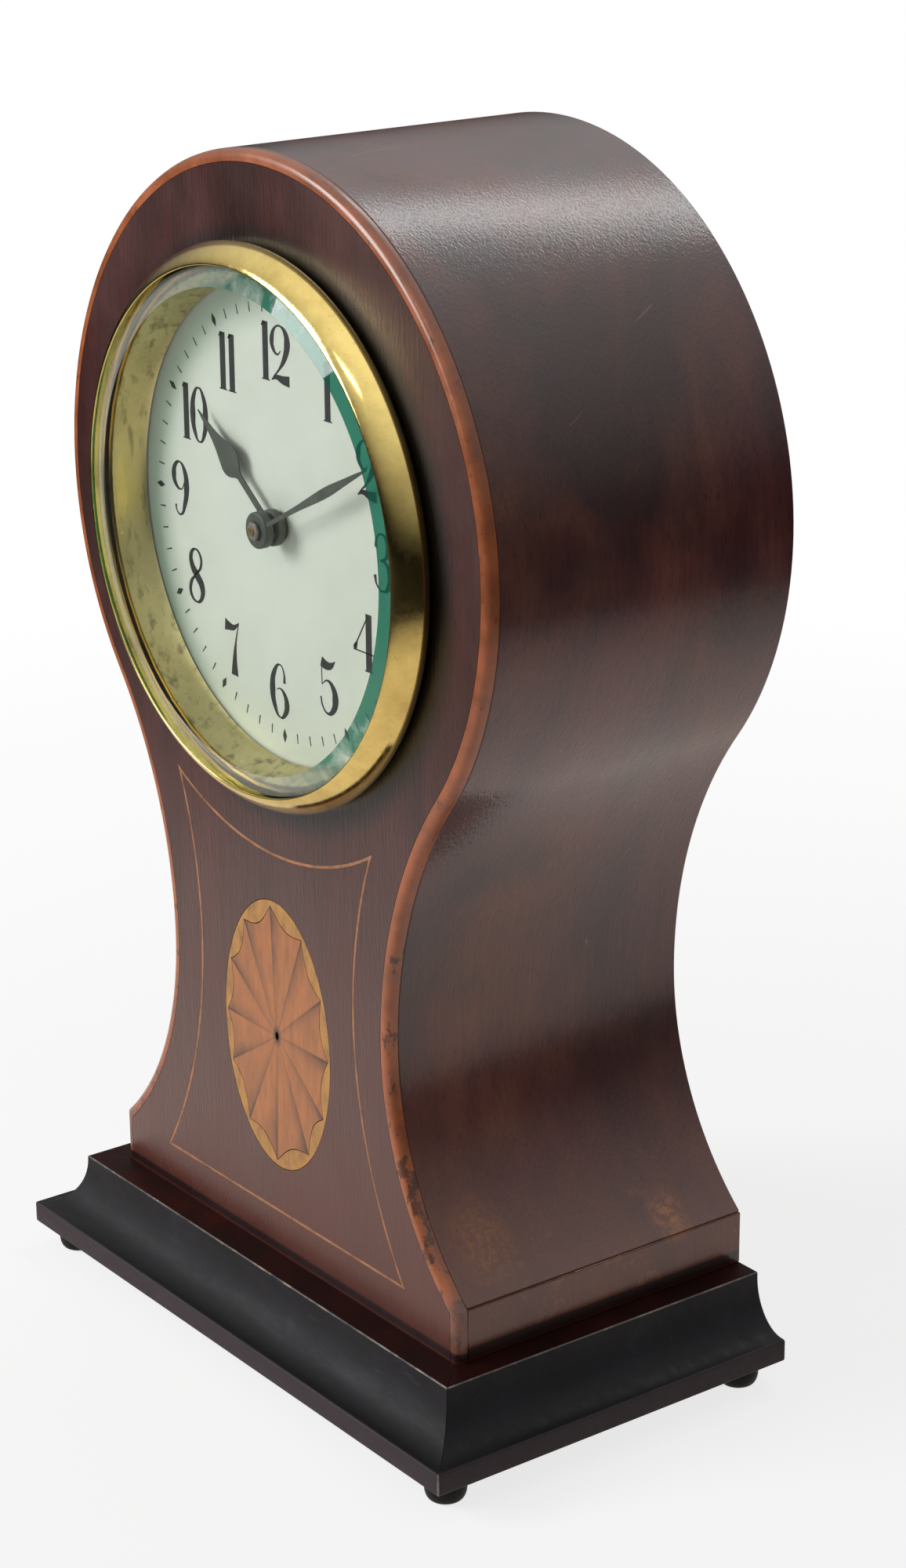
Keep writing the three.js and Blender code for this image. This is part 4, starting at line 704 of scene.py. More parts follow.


def front_wood(name):
    """Front veneer, warmer towards the base, and black round the bezel with grime and a painted shadow of the
    bezel.
    """
    paint = Paint(name)
    tone = colours().front_wood
    body, cloud, grain = veneer(paint, tone, shade(tone, 1.6), shade(tone, 0.7))
    body = paint.mix(paint.span(paint.axis("Z"), *FRONT_LOW, 0.55, 0), body, toned("front_low"))
    body = footed(paint, body, FRONT_STRIP)
    right, up = GRIME_AND_SHADOW_MIDDLE
    reach = paint.distance((right, 0, BASE_TOP + DIAL_HEIGHT + up), (1, 0, 1))
    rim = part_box("bezel")[1].x
    # painted shadow with grime: black round the bezel, thickest to the lower right where the bezel's shadow
    # falls
    grime_and_shadow = paint.span(reach, rim + GRIME_AND_SHADOW_FADE[0], rim + GRIME_AND_SHADOW_FADE[1], 0.97, 0)
    body = paint.mix(grime_and_shadow, body, toned("grime_and_shadow"))
    return polished(paint, body, cloud, grain, 0.3, 0.28, 0.26)


# Share of the depth from the front, height above the seam, radius and strength of each bare patch
BARE_PATCHES = ((0.14, 8 * MM, 8 * MM, 0.42), (0.76, 3 * MM, 5 * MM, 0.8))
PATCH_SCALE = (0.1, 1, 1)  # lets a patch follow the curve of the side
PATCH_CORE = 1 / 3  # part of the radius within which a patch has its full strength


def bared(paint, body, under):
    """Patches low on the right side where the polish has gone and the bare wood shows."""
    front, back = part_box("side_veneer")
    speckle = paint.span(paint.noise(700, 5, 0.7), 0.42, 0.6, 0.15, 1)
    for share, rise, radius, strength in BARE_PATCHES:
        centre = (back.x, front.y + share * (back.y - front.y), BASE_TOP + PLINTH_TOP + rise)
        reach = paint.distance(centre, PATCH_SCALE)
        patch = paint.span(reach, radius * PATCH_CORE, radius, strength, 0)
        patch = paint.maths("MULTIPLY", patch, speckle)
        body = paint.mix(patch, body, under)
    return body


def side_wood(name):
    """Side veneer, scratched, and rubbed through to the pale wood in places low down."""
    paint = Paint(name)
    body, cloud, grain = veneer(paint, colours().side_wood, toned("side_warm"), toned("side_smoke"))
    body = scratched(paint, body, toned("scratch"))
    rub = paint.span(paint.noise(150, 6, 0.75), 0.58, 0.7, 0, 0.6)
    low = paint.span(paint.axis("Z"), *RUB_LOW, 1, 0)
    body = paint.mix(paint.span(paint.axis("Z"), *SIDE_LOW, 0.4, 0), body, toned("side_low"))
    body = paint.mix(paint.maths("MULTIPLY", rub, low), body, toned("rubbed"))
    body = bared(paint, body, toned("bare"))
    body = footed(paint, body, SIDE_STRIP)
    return polished(paint, body, cloud, grain, 0.34, 0.75, 0.15, 0.25)


def back_wood(name):
    """Stained wood of the back, with little polish."""
    paint = Paint(name)
    tone = shade(colours().side_wood, 1.3)
    body, cloud, grain = veneer(paint, tone, toned("back_warm"), toned("back_smoke"))
    return polished(paint, body, cloud, grain, 0.5, 0.1)


def pine(name):
    """Bare pine."""
    paint = Paint(name)
    body, cloud, grain = veneer(paint, toned("pine"), toned("pine_warm"), toned("pine_smoke"))
    return polished(paint, body, cloud, grain, 0.6, 0.0)


HOLLOW_SHADE_FADE = 2.6 * MM  # height over which the painted black shade in the foot of the hollow fades out
NOSE_FADE = 0.1 * MM


def black_wood(name):
    """Ebonised wood with rubbed polish, painted black shade in the foot of the hollow, and browner on the
    nose below it.
    """
    paint = Paint(name)
    tone = colours().black_wood
    cloud = paint.noise(60, 5, 0.65)
    scuff = paint.noise(420, 4, 0.7, (0.3, 1, 1))
    body = paint.mottle(cloud, tone, 0.6, 2.4, (0.3, 0.6, 0.8))
    body = paint.mix(paint.span(scuff, 0.62, 0.75, 0, 0.5), body, toned("scuff"))
    height = paint.maths("SUBTRACT", paint.axis("Z"), BASE_LOW)
    # painted shade: black in the crease at the foot of the hollow
    body = paint.mix(paint.span(height, NOSE, NOSE + HOLLOW_SHADE_FADE, 0.75, 0), body, toned("hollow"))
    nose = paint.span(height, NOSE - NOSE_FADE, NOSE, 0.9, 0)
    nose = paint.maths("MULTIPLY", paint.span(height, 0, NOSE_FADE), nose)
    body = paint.mix(nose, body, toned("nose"))
    paint.surface(Base_Color=body, Specular_IOR_Level=0.17)
    paint.rough(scuff, 0.48, 0.64)
    paint.relief(scuff, 0.1, COARSE)
    return paint.material


def ledge_wood(name):
    """The red-black top of the base: its own black, with a painted reflection of the red-brown case."""
    paint = Paint(name)
    cloud = paint.noise(70, 5, 0.65)
    # painted reflection: the red in the ramp stands for the case reflected in the top
    body = paint.ramp(cloud, (0.3, toned("ledge_dark")), (0.55, toned("ledge")), (0.8, toned("ledge_reflected_red")))
    paint.surface(Base_Color=body, Specular_IOR_Level=0.05)
    paint.rough(cloud, 0.4, 0.55)
    return paint.material


def worn_wood(name):
    """Edges of the black base where the polish is rubbed through."""
    paint = Paint(name)
    rub = paint.noise(170, 5, 0.7)
    dark = shade(colours().black_wood, 2)
    body = paint.ramp(rub, (0.36, dark), (0.5, toned("worn")), (0.66, toned("worn_pale")))
    paint.surface(Base_Color=body)
    paint.rough(rub, 0.3, 0.55)
    return paint.material


STRING_FOOT = 3 * MM  # height over which the stringing's dull foot fades out, above the seam


def string_wood(name):
    """Boxwood stringing under old polish, with stains and chips."""
    paint = Paint(name)
    tone = colours().stringing
    cloud = paint.noise(130, 5, 0.65)
    stain = paint.noise(300, 4, 0.7, (1, 1, 0.7))
    body = paint.mottle(cloud, tone, 0.6, 1.35, (0.3, 0.52, 0.75))
    low = paint.span(paint.axis("Z"), *STAIN_LOW, 0.13, 0)
    stained = paint.span(paint.maths("ADD", stain, low), 0.63, 0.7, 0, 0.85)
    body = paint.mix(stained, body, toned("string_stain"))
    seam = BASE_TOP + PLINTH_TOP
    plinth = paint.span(paint.axis("Z"), seam, seam + STRING_FOOT, 0.65, 0)
    body = paint.mix(plinth, body, toned("string_foot"))
    body = footed(paint, body, STRING_STRIP)
    paint.surface(Base_Color=body, Coat_Weight=0.3, Coat_Roughness=0.15)
    paint.rough(cloud, 0.26, 0.42)
    paint.relief(stain, 0.15, COARSE)
    return paint.material


def line_wood(name):
    """The fine shield line, rubbed thin in places."""
    paint = Paint(name)
    rub = paint.noise(240, 5, 0.7)
    body = paint.mottle(rub, toned("shield_line"), 0.45, 1.25, (0.32, 0.55, 0.75))
    paint.surface(Base_Color=body)
    paint.rough(rub, 0.35, 0.5)
    return paint.material


def fan_wood(name):
    """Petals shaded with hot sand along one side; the petal's own map runs across and along it."""
    paint = Paint(name)
    layer = paint.add("ShaderNodeUVMap", uv_map="petal").outputs["UV"]
    split = paint.add("ShaderNodeSeparateXYZ", {"Vector": layer})
    across, along = split.outputs["X"], split.outputs["Y"]
    grain = paint.noise(900, 4, 0.65, (1, 1, 0.2))
    body = paint.mottle(grain, colours().fan, 0.72, 1.25, (0.3, 0.55, 0.8))
    wander = paint.span(paint.noise(160, 3, 0.6), 0.3, 0.7, -0.12, 0.12)
    edge = paint.maths("ADD", across, paint.maths("MULTIPLY", wander, along))
    scorch = paint.ramp(edge, (0.0, 0.85), (0.12, 0.5), (0.32, 0.14), (0.55, 0.0))
    scorch = paint.maths("MULTIPLY", scorch, paint.span(along, 0.2, 0.85, 0.3, 1.0))
    body = paint.mix(scorch, body, toned("scorch"))
    seam = paint.ramp(across, (0.0, 1.0), (0.05, 0.0), (0.97, 0.0), (1.0, 0.6))
    body = paint.mix(seam, body, toned("petal_seam"))
    eye = paint.ramp(along, (0.03, 1.0), (0.09, 0.0))
    body = paint.mix(eye, body, toned("fan_eye"))
    paint.surface(Base_Color=body, Coat_Weight=0.15, Coat_Roughness=0.2)
    paint.rough(grain, 0.3, 0.45)
    paint.relief(grain, 0.1, FINE)
    return paint.material


def border_wood(name):
    """Mottled satinwood round the fan."""
    paint = Paint(name)
    cloud = paint.noise(380, 5, 0.7, (1, 1, 0.5))
    paint.surface(Base_Color=paint.mottle(cloud, colours().border, 0.5, 1.35, (0.3, 0.52, 0.78)))
    paint.rough(cloud, 0.3, 0.48)
    paint.relief(cloud, 0.1, FINE)
    return paint.material


def metal(name, tone, tarnish, low, high, spots=0.6, marks=0.06):
    """Metal with a cloudy tarnish and fine rubbing marks."""
    paint = Paint(name)
    cloud = paint.noise(55, 6, 0.7)
    rub = paint.noise(900, 4, 0.7)
    body = paint.mix(paint.span(cloud, 0.42, 0.78, 0, spots), tone, tarnish)
    body = paint.mix(paint.span(rub, 0.6, 0.8, 0, spots * 0.8), body, tarnish)
    paint.surface(Base_Color=body, Metallic=1.0, Roughness=paint.span(rub, 0.3, 0.75, low, high))
    paint.relief(rub, marks, FINE)
    return paint.material


def bezel_brass(name):
    """Bright brass, polished often."""
    return metal(name, colours().brass, toned("bezel_tarnish"), 0.08, 0.2)


def case_brass(name):
    """Dull brass of the drum, its brackets, the door and the door's ring and knob."""
    return metal(name, colours().brass, toned("case_tarnish"), 0.3, 0.36, 0.2, 0.01)


def sight_brass(name):
    """Brass of the band round the dial, with upright dark streaks painted in as reflections."""
    paint = Paint(name)
    cloud = paint.noise(70, 5, 0.65)
    run = paint.noise(420, 4, 0.65, (1, 1, 0.07))
    body = paint.mix(paint.span(cloud, 0.42, 0.7, 0, 0.45), toned("sight"), toned("sight_tarnish"))
    # painted reflection: upright dark streaks in the brass colour
    body = paint.mix(paint.span(run, 0.52, 0.72, 0, 0.75), body, toned("sight_reflection_streak"))
    paint.surface(Base_Color=body, Metallic=1.0)
    paint.rough(run, 0.24, 0.46)
    paint.relief(run, 0.12, FINE)
    return paint.material


def movement_brass(name):
    """Brass of the plates and wheels."""
    return metal(name, shade(colours().brass, 0.95), toned("works_tarnish"), 0.28, 0.36, 0.2, 0.01)


def steel(name):
    """Bright steel."""
    return metal(name, toned("steel"), toned("steel_tarnish"), 0.22, 0.4)


def dull(name, tone):
    """Blackened steel, gone grey and matt."""
    paint = Paint(name)
    cloud = paint.noise(260, 5, 0.65)
    body = paint.mottle(cloud, tone, 0.75, 1.3, (0.3, 0.55, 0.8))
    paint.surface(Base_Color=body, Metallic=0.15, Specular_IOR_Level=0.3)
    paint.rough(cloud, 0.42, 0.6)
    paint.relief(cloud, 0.08, FINE)
    return paint.material


def hand_steel(name):
    """Steel of the hands."""
    return dull(name, colours().hands)


def nut_steel(name):
    """Steel of the nut, rubbed paler."""
    return dull(name, toned("nut"))


def enamel(name):
    """White dial with faint stains and a few scratches."""
    paint = Paint(name)
    cloud = paint.noise(45, 5, 0.65)
    speck = paint.noise(900, 3, 0.6)
    scratch = paint.noise(500, 2, 0.5, (1, 1, 0.06), 0.8)
    body = paint.mottle(cloud, colours().enamel, 0.93, 1.04, (0.3, 0.55, 0.8))
    body = paint.mix(paint.span(speck, 0.74, 0.8, 0, 0.35), body, toned("dial_stain"))
    body = paint.mix(paint.span(scratch, 0.78, 0.84, 0, 0.3), body, toned("dial_scratch"))
    paint.surface(Base_Color=body)
    paint.rough(cloud, 0.3, 0.4)
    return paint.material


def ink(name):
    """Printed black, a little thin in places."""
    paint = Paint(name)
    thin = paint.noise(1600, 4, 0.7)
    paint.surface(Base_Color=paint.mottle(thin, colours().ink, 0.7, 3.5, (0.35, 0.62, 0.85)))
    paint.rough(thin, 0.45, 0.6)
    return paint.material


PANE = (0.985, 0.995, 0.99)  # what clear glass lets through
BEVEL_TURNED = (0.96, 0.98, 0.97)  # what the bevel lets through where it is seen at a slant
GLASS_INDEX = 1.45


def clear(name, tone, veil, veil_tone, edge_on=None):
    """Glass that lets the light through with a tint and a faint veil, and reflects by angle.

    Where edge_on is given, the tint and the veil are those of glass that is looked at square on,
    and edge_on is the tint that they fade to where the surface turns away.
    """
    paint = Paint(name)
    smear = paint.noise(35, 4, 0.6)
    tint = paint.mix(smear, tone, shade(tone, 0.96))
    if edge_on:
        facing = paint.add("ShaderNodeLayerWeight", {"Blend": 0.5}).outputs["Facing"]
        mottle = paint.span(paint.noise(160, 3, 0.6), 0.3, 0.7, -0.08, 0.08)
        away = paint.span(paint.maths("ADD", facing, mottle), 0.36, 0.5)
        tint = paint.mix(away, tint, edge_on)
        veil = paint.span(away, 0, 1, veil, 0.24)
        veil_tone = paint.mix(away, veil_tone, toned("bevel_haze"))
    through = paint.add("ShaderNodeBsdfTransparent", {"Color": tint})
    film = paint.add("ShaderNodeBsdfDiffuse", {"Color": veil_tone})
    body = paint.add("ShaderNodeMixShader", {0: veil, 1: through.outputs[0], 2: film.outputs[0]})
    shine = paint.add("ShaderNodeBsdfGlossy", {"Roughness": 0.02})
    angle = paint.add("ShaderNodeFresnel", {"IOR": GLASS_INDEX}).outputs[0]
    inside = paint.add("ShaderNodeNewGeometry").outputs["Backfacing"]
    share = paint.maths("MULTIPLY", angle, paint.maths("SUBTRACT", 1.0, inside))
    whole = paint.add("ShaderNodeMixShader", {0: share, 1: body.outputs[0], 2: shine.outputs[0]})
    output = paint.tree.nodes["Material Output"]
    paint.tree.links.new(whole.outputs[0], output.inputs["Surface"])
    paint.tree.nodes.remove(paint.shader)
    return paint.material


def pane(name):
    """The flat of the glass."""
    return clear(name, PANE, 0.008, toned("haze"))


def glass_bevel(name):
    """The bevel of the glass, green where it is seen square on."""
    return clear(name, toned("bevel"), 0.55, colours().glass_edge, BEVEL_TURNED)


FINISHES = {
    "front_mahogany": front_wood, "side_mahogany": side_wood, "back_mahogany": back_wood, "pine": pine,
    "ebonised": black_wood, "worn": worn_wood, "ledge": ledge_wood, "stringing": string_wood,
    "shield_line": line_wood, "fan": fan_wood, "fan_border": border_wood,
    "bezel_brass": bezel_brass, "case_brass": case_brass, "sight_brass": sight_brass,
    "movement_brass": movement_brass, "steel": steel, "hand_steel": hand_steel, "nut_steel": nut_steel,
    "enamel": enamel, "ink": ink, "pane": pane, "glass_bevel": glass_bevel,
}


def finish(name):
    """The finish of this name, made when it is first asked for."""
    title = "finish_" + name
    return bpy.data.materials.get(title) or FINISHES[name](title)


# Operators


class CLOCK_OT_stage(bpy.types.Operator):
    """Set up the camera, the floor and the lights"""

    bl_idname = "clock.stage"
    bl_label = "Stage"

    CAMERA = Vector((0.49740, -0.35646, 0.32085))
    TARGET = Vector((0.05491, -0.02595, 0.129055))
    ROLL = math.radians(-0.4447)
    AIM = Vector((0, 0, 0.12))
    # Name, place, size, way of the longer side and power setting of each lamp
    LAMPS = (
        ("key_light", (-0.52, -0.82, 0.5), (0.5, 0.5), (1, 0, 0), "key"),
        ("top_light", (-0.18, 0.6, 0.98), (0.6, 0.08), (0.78, 0.62, 0), "fill"),
        ("front_light", (0.15, -0.75, 0.88), (0.32, 0.07), (0.9, 0, 0.3), "sparkle"),
    )
    FLOOR_RADIUS = 9
    FLOOR_GAP = 0.1 * MM  # between the floor and the feet
    MIRROR_FADE = (0.22, 0.42)  # distances over which the floor fades out of reflections
    WHITE_FADE = (0.15, 0.5)  # distances over which the floor turns fully white
    ROOM_RISE = (0.05, 0.9)  # upward part of a view from the dim to the bright end of the room
    WALL_TURN = (0.72, 0.95)  # backward part of a view from the start of the wall to its full light

    def execute(self, context):
        stage = context.scene.clock_stage
        context.scene.view_settings.view_transform = "Standard"
        self.camera(context, stage)
        self.floor()
        for name, place, size, along, power in self.LAMPS:
            self.lamp(name, place, size, along, getattr(stage, power))
        self.world(context, stage)
        return {"FINISHED"}

    def camera(self, context, stage):
        data = bpy.data.cameras.new("camera")
        data.lens = stage.lens
        data.clip_start = 0.01
        camera = bpy.data.objects.new("camera", data)
        context.collection.objects.link(camera)
        ahead = (self.TARGET - self.CAMERA).normalized()
        side = ahead.cross(Vector((0, 0, 1))).normalized()
        up = side.cross(ahead)
        right = side * math.cos(self.ROLL) + up * math.sin(self.ROLL)
        top = up * math.cos(self.ROLL) - side * math.sin(self.ROLL)
        turn_matrix = Matrix((right, top, -ahead)).transposed().to_4x4()
        camera.matrix_world = Matrix.Translation(self.CAMERA) @ turn_matrix
        context.scene.camera = camera

    def floor(self):
        bpy.ops.mesh.primitive_circle_add(
            vertices=96, radius=self.FLOOR_RADIUS, fill_type="NGON", location=(0, 0, -self.FLOOR_GAP))
        floor = bpy.context.object
        floor.name = floor.data.name = "floor"
        paint = Paint("floor")
        path = paint.add("ShaderNodeLightPath").outputs
        gloss = path["Is Glossy Ray"]
        reach = paint.distance()
        far = paint.maths("MULTIPLY", gloss, paint.span(reach, *self.MIRROR_FADE))
        paint.surface(Base_Color=paint.mix(far, (0.9, 0.9, 0.9), (0.04, 0.04, 0.04)), Roughness=0.8)
        paint.surface(Specular_IOR_Level=0.0)
        tint = paint.mix(gloss, (1, 1, 1), (1, 0.9, 0.83))
        glow = paint.add("ShaderNodeEmission", {"Color": tint, "Strength": 1.0})
        white = paint.span(reach, *self.WHITE_FADE, 0.78, 1.0)
        seen = paint.maths("MULTIPLY", path["Is Camera Ray"], white)
        near = paint.maths("MULTIPLY", gloss, paint.span(reach, *self.MIRROR_FADE, 0.85, 0))
        share = paint.maths("MAXIMUM", seen, near)
        both = paint.add("ShaderNodeMixShader", {0: share, 1: paint.shader.outputs[0], 2: glow.outputs[0]})
        paint.tree.links.new(both.outputs[0], paint.tree.nodes["Material Output"].inputs["Surface"])
        floor.data.materials.append(paint.material)

    def lamp(self, name, place, size, along, power):
        """A soft lamp that looks at the clock, with its longer side one way."""
        data = bpy.data.lights.new(name, "AREA")
        data.energy = power
        data.shape = "RECTANGLE"
        data.size, data.size_y = size
        lamp = bpy.data.objects.new(name, data)
        bpy.context.collection.objects.link(lamp)
        away = (Vector(place) - self.AIM).normalized()
        across = away.cross(Vector(along)).normalized()
        facing = Matrix((across.cross(away), across, away)).transposed().to_4x4()
        lamp.matrix_world = Matrix.Translation(place) @ facing

    def world(self, context, stage):
        """White behind the clock, with a plain room to reflect: dim at eye level and bright overhead."""
        paint = RoomPaint("studio")
        context.scene.world = paint.world
        path = paint.add("ShaderNodeLightPath").outputs
        view = paint.add("ShaderNodeTexCoord").outputs["Generated"]
        way = paint.add("ShaderNodeSeparateXYZ", {"Vector": view}).outputs
        room = paint.span(way["Z"], *self.ROOM_RISE, stage.room_low, stage.room_high)
        wall = paint.span(way["Y"], *self.WALL_TURN, 0.0, stage.wall)
        room = paint.maths("MAXIMUM", room, wall)
        lit = paint.span(path["Is Glossy Ray"], 0, 1, stage.ambient, room)
        seen = paint.maths("MAXIMUM", path["Is Camera Ray"], path["Is Transmission Ray"])
        paint.surface(Color=(1, 1, 1), Strength=paint.span(seen, 0, 1, lit, 1.0))


class CLOCK_OT_base(bpy.types.Operator):
    """Model the moulded base and its feet"""

    bl_idname = "clock.base"
    bl_label = "Base"

    LIP = 0.7 * MM
    COVE = (7.3 * MM, 10.2 * MM)
    WIDTH = 18 * MM
    EASE = 0.5 * MM
    WORN_EDGE = 0.22 * MM
    WORN = 1  # place of the worn edges' finish in a moulding's list
    LEDGE = 2  # place of the top's finish
    FOOT = 0.66  # the bun's share of the measured foot's radius
    FOOT_FLAT = 2 / 3  # radius of the bun's flats, as a share of the bun's

    def section(self, height):
        """The moulding's section: distance in from the nose, and height."""
        nose = arc((self.EASE, NOSE - self.EASE), self.EASE, 180, 90, 6)
        foot = arc((self.EASE, self.EASE), self.EASE, 270, 180, 6)
        run, rise = self.COVE
        hollow = [(self.LIP + run * x, NOSE + rise * (1 + y)) for x, y in arc((0, 0), 1, 270, 360, 18)]
        top = [(self.LIP + run, height), (self.WIDTH, height), (self.WIDTH, 0)]
        return foot + nose + hollow + top

    def execute(self, context):
        low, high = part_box("base_moulding_front")
        side_low, side_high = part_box("base_moulding_right")
        gap = context.scene.clock_case.glue_line / 2
        section = self.section(high.z - low.z)
        front = draw_face("moulding_front", [(low.x, low.y + d, low.z + h) for d, h in section])
        thicken((high.x - low.x, 0, 0))
        soften(front, self.WORN_EDGE, 2, 40, self.WORN)
        for sign in (-1, 1):
            self.mitre(front, (sign * (side_high.x - gap), low.y, 0), (sign, 1, 0))
        right = draw_face("moulding_right", [(side_high.x - d, low.y, low.z + h) for d, h in section])
        thicken((0, side_high.y - low.y, 0))
        soften(right, self.WORN_EDGE, 2, 40, self.WORN)
        self.mitre(right, (side_high.x + gap, low.y, 0), (-1, -1, 0))
        left = copy_of(right, "moulding_left")
        modify(left, "MIRROR", use_axis=(True, False, False), use_bisect_axis=(False, False, False))
        self.mitre(left, (0, 0, 0), (1, 0, 0))
        for piece, node in ((front, "front"), (right, "right"), (left, "left")):
            for face in piece.data.polygons:
                if face.normal.z > 0.99 and face.center.z > high.z - WELD:
                    face.material_index = self.LEDGE
            finishes = ("ebonised", "worn", "ledge")
            finished(piece, "case", finishes, ("base_moulding_" + node,))
        self.feet()
        return {"FINISHED"}

    def mitre(self, piece, place, facing):
        """Cuts off what lies beyond a plane."""
        activate(piece)
        bpy.ops.object.mode_set(mode="EDIT")
        bpy.ops.mesh.select_all(action="SELECT")
        bpy.ops.mesh.bisect(plane_co=place, plane_no=facing, use_fill=True, clear_outer=True)
        bpy.ops.mesh.select_all(action="SELECT")
        bpy.ops.mesh.normals_make_consistent(inside=False)
        bpy.ops.object.mode_set(mode="OBJECT")

    def feet(self):
        low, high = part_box("foot_front_left")
        radius, height = self.FOOT * (high.x - low.x) / 2, high.z - low.z
        pad = radius * self.FOOT_FLAT
        bun = arc((0, 0), 1, -90, 90, 16)
        profile = [(pad + (radius - pad) * x, height * (1 + y) / 2) for x, y in bun]
        first = turn("bun_foot", [(0, 0), *profile, (0, height)], 48)
        for row in ("front", "back"):
            for side in ("left", "right"):
                node = f"foot_{row}_{side}"
                low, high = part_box(node)
                foot = copy_of(first, "bun_" + node)
                put(foot, Matrix.Translation(((low.x + high.x) / 2, (low.y + high.y) / 2, low.z)))
                finished(foot, "case", ("ebonised",), (node,))
        bpy.data.objects.remove(first, do_unlink=True)


class CLOCK_OT_case(bpy.types.Operator):
    """Model the veneered case"""

    bl_idname = "clock.case"
    bl_label = "Case"

    SKIN_ROUND = 0.3 * MM
    BACK_HOLE = 42 * MM  # radius of the opening behind the movement

    def execute(self, context):
        case = context.scene.clock_case
        self.sides(case)
        self.plinth(case)
        self.walls(case)
        self.back(case)
        return {"FINISHED"}

    def ribbon(self, name, case, outer, inner, start, span):
        """A band between two insets of the case edge."""
        shape = case_edge(case, outer, start) + list(reversed(case_edge(case, inner, start)))
        return plate(name, shape, span)

    def sides(self, case):
        seat = PLINTH_TOP + case.glue_line
        skin = self.ribbon("side_skin", case, 0, case.veneer, seat, levels("side_veneer"))
        soften(skin, self.SKIN_ROUND, 2, 50)
        finished(stand(skin), "case", ("side_mahogany",), ("side_veneer",))

    def plinth(self, case):
        low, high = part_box("plinth_block")
        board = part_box("front_board")[1].y + case.glue_line
        cheek = high.x - case.veneer
        plan = [(low.x, high.y), (high.x, high.y), (high.x, low.y), (cheek, low.y), (cheek, board),
                (-cheek, board), (-cheek, low.y), (low.x, low.y)]
        block = draw_face("plinth", [(x, y, low.z) for x, y in plan])
        thicken((0, 0, high.z - low.z))
        soften(block, case.arris, 2, 50)
        finished(block, "case", ("side_mahogany",), ("plinth_block",))

    def walls(self, case):
        outer = case.veneer + case.glue_line
        inner = outer + case.wall
        seat = PLINTH_TOP + case.glue_line
        shell = self.ribbon("wall_shell", case, outer, inner, seat, levels("carcass_right"))
        soften(shell, case.arris, 2, 50)
        finished(stand(shell), "case", ("back_mahogany",),
                 ("carcass_left", "carcass_right", "carcass_crown"))

    def back(self, case):
        inset = case.veneer + case.glue_line * 2 + case.wall
        shape = case_edge(case, inset, PLINTH_TOP + case.glue_line)
        hole = circle((0, DIAL_HEIGHT), self.BACK_HOLE)
        panel = ring_plate("back_panel", shape, hole, levels("back_board"))
        finished(stand(panel), "case", ("back_mahogany",), ("back_board",))


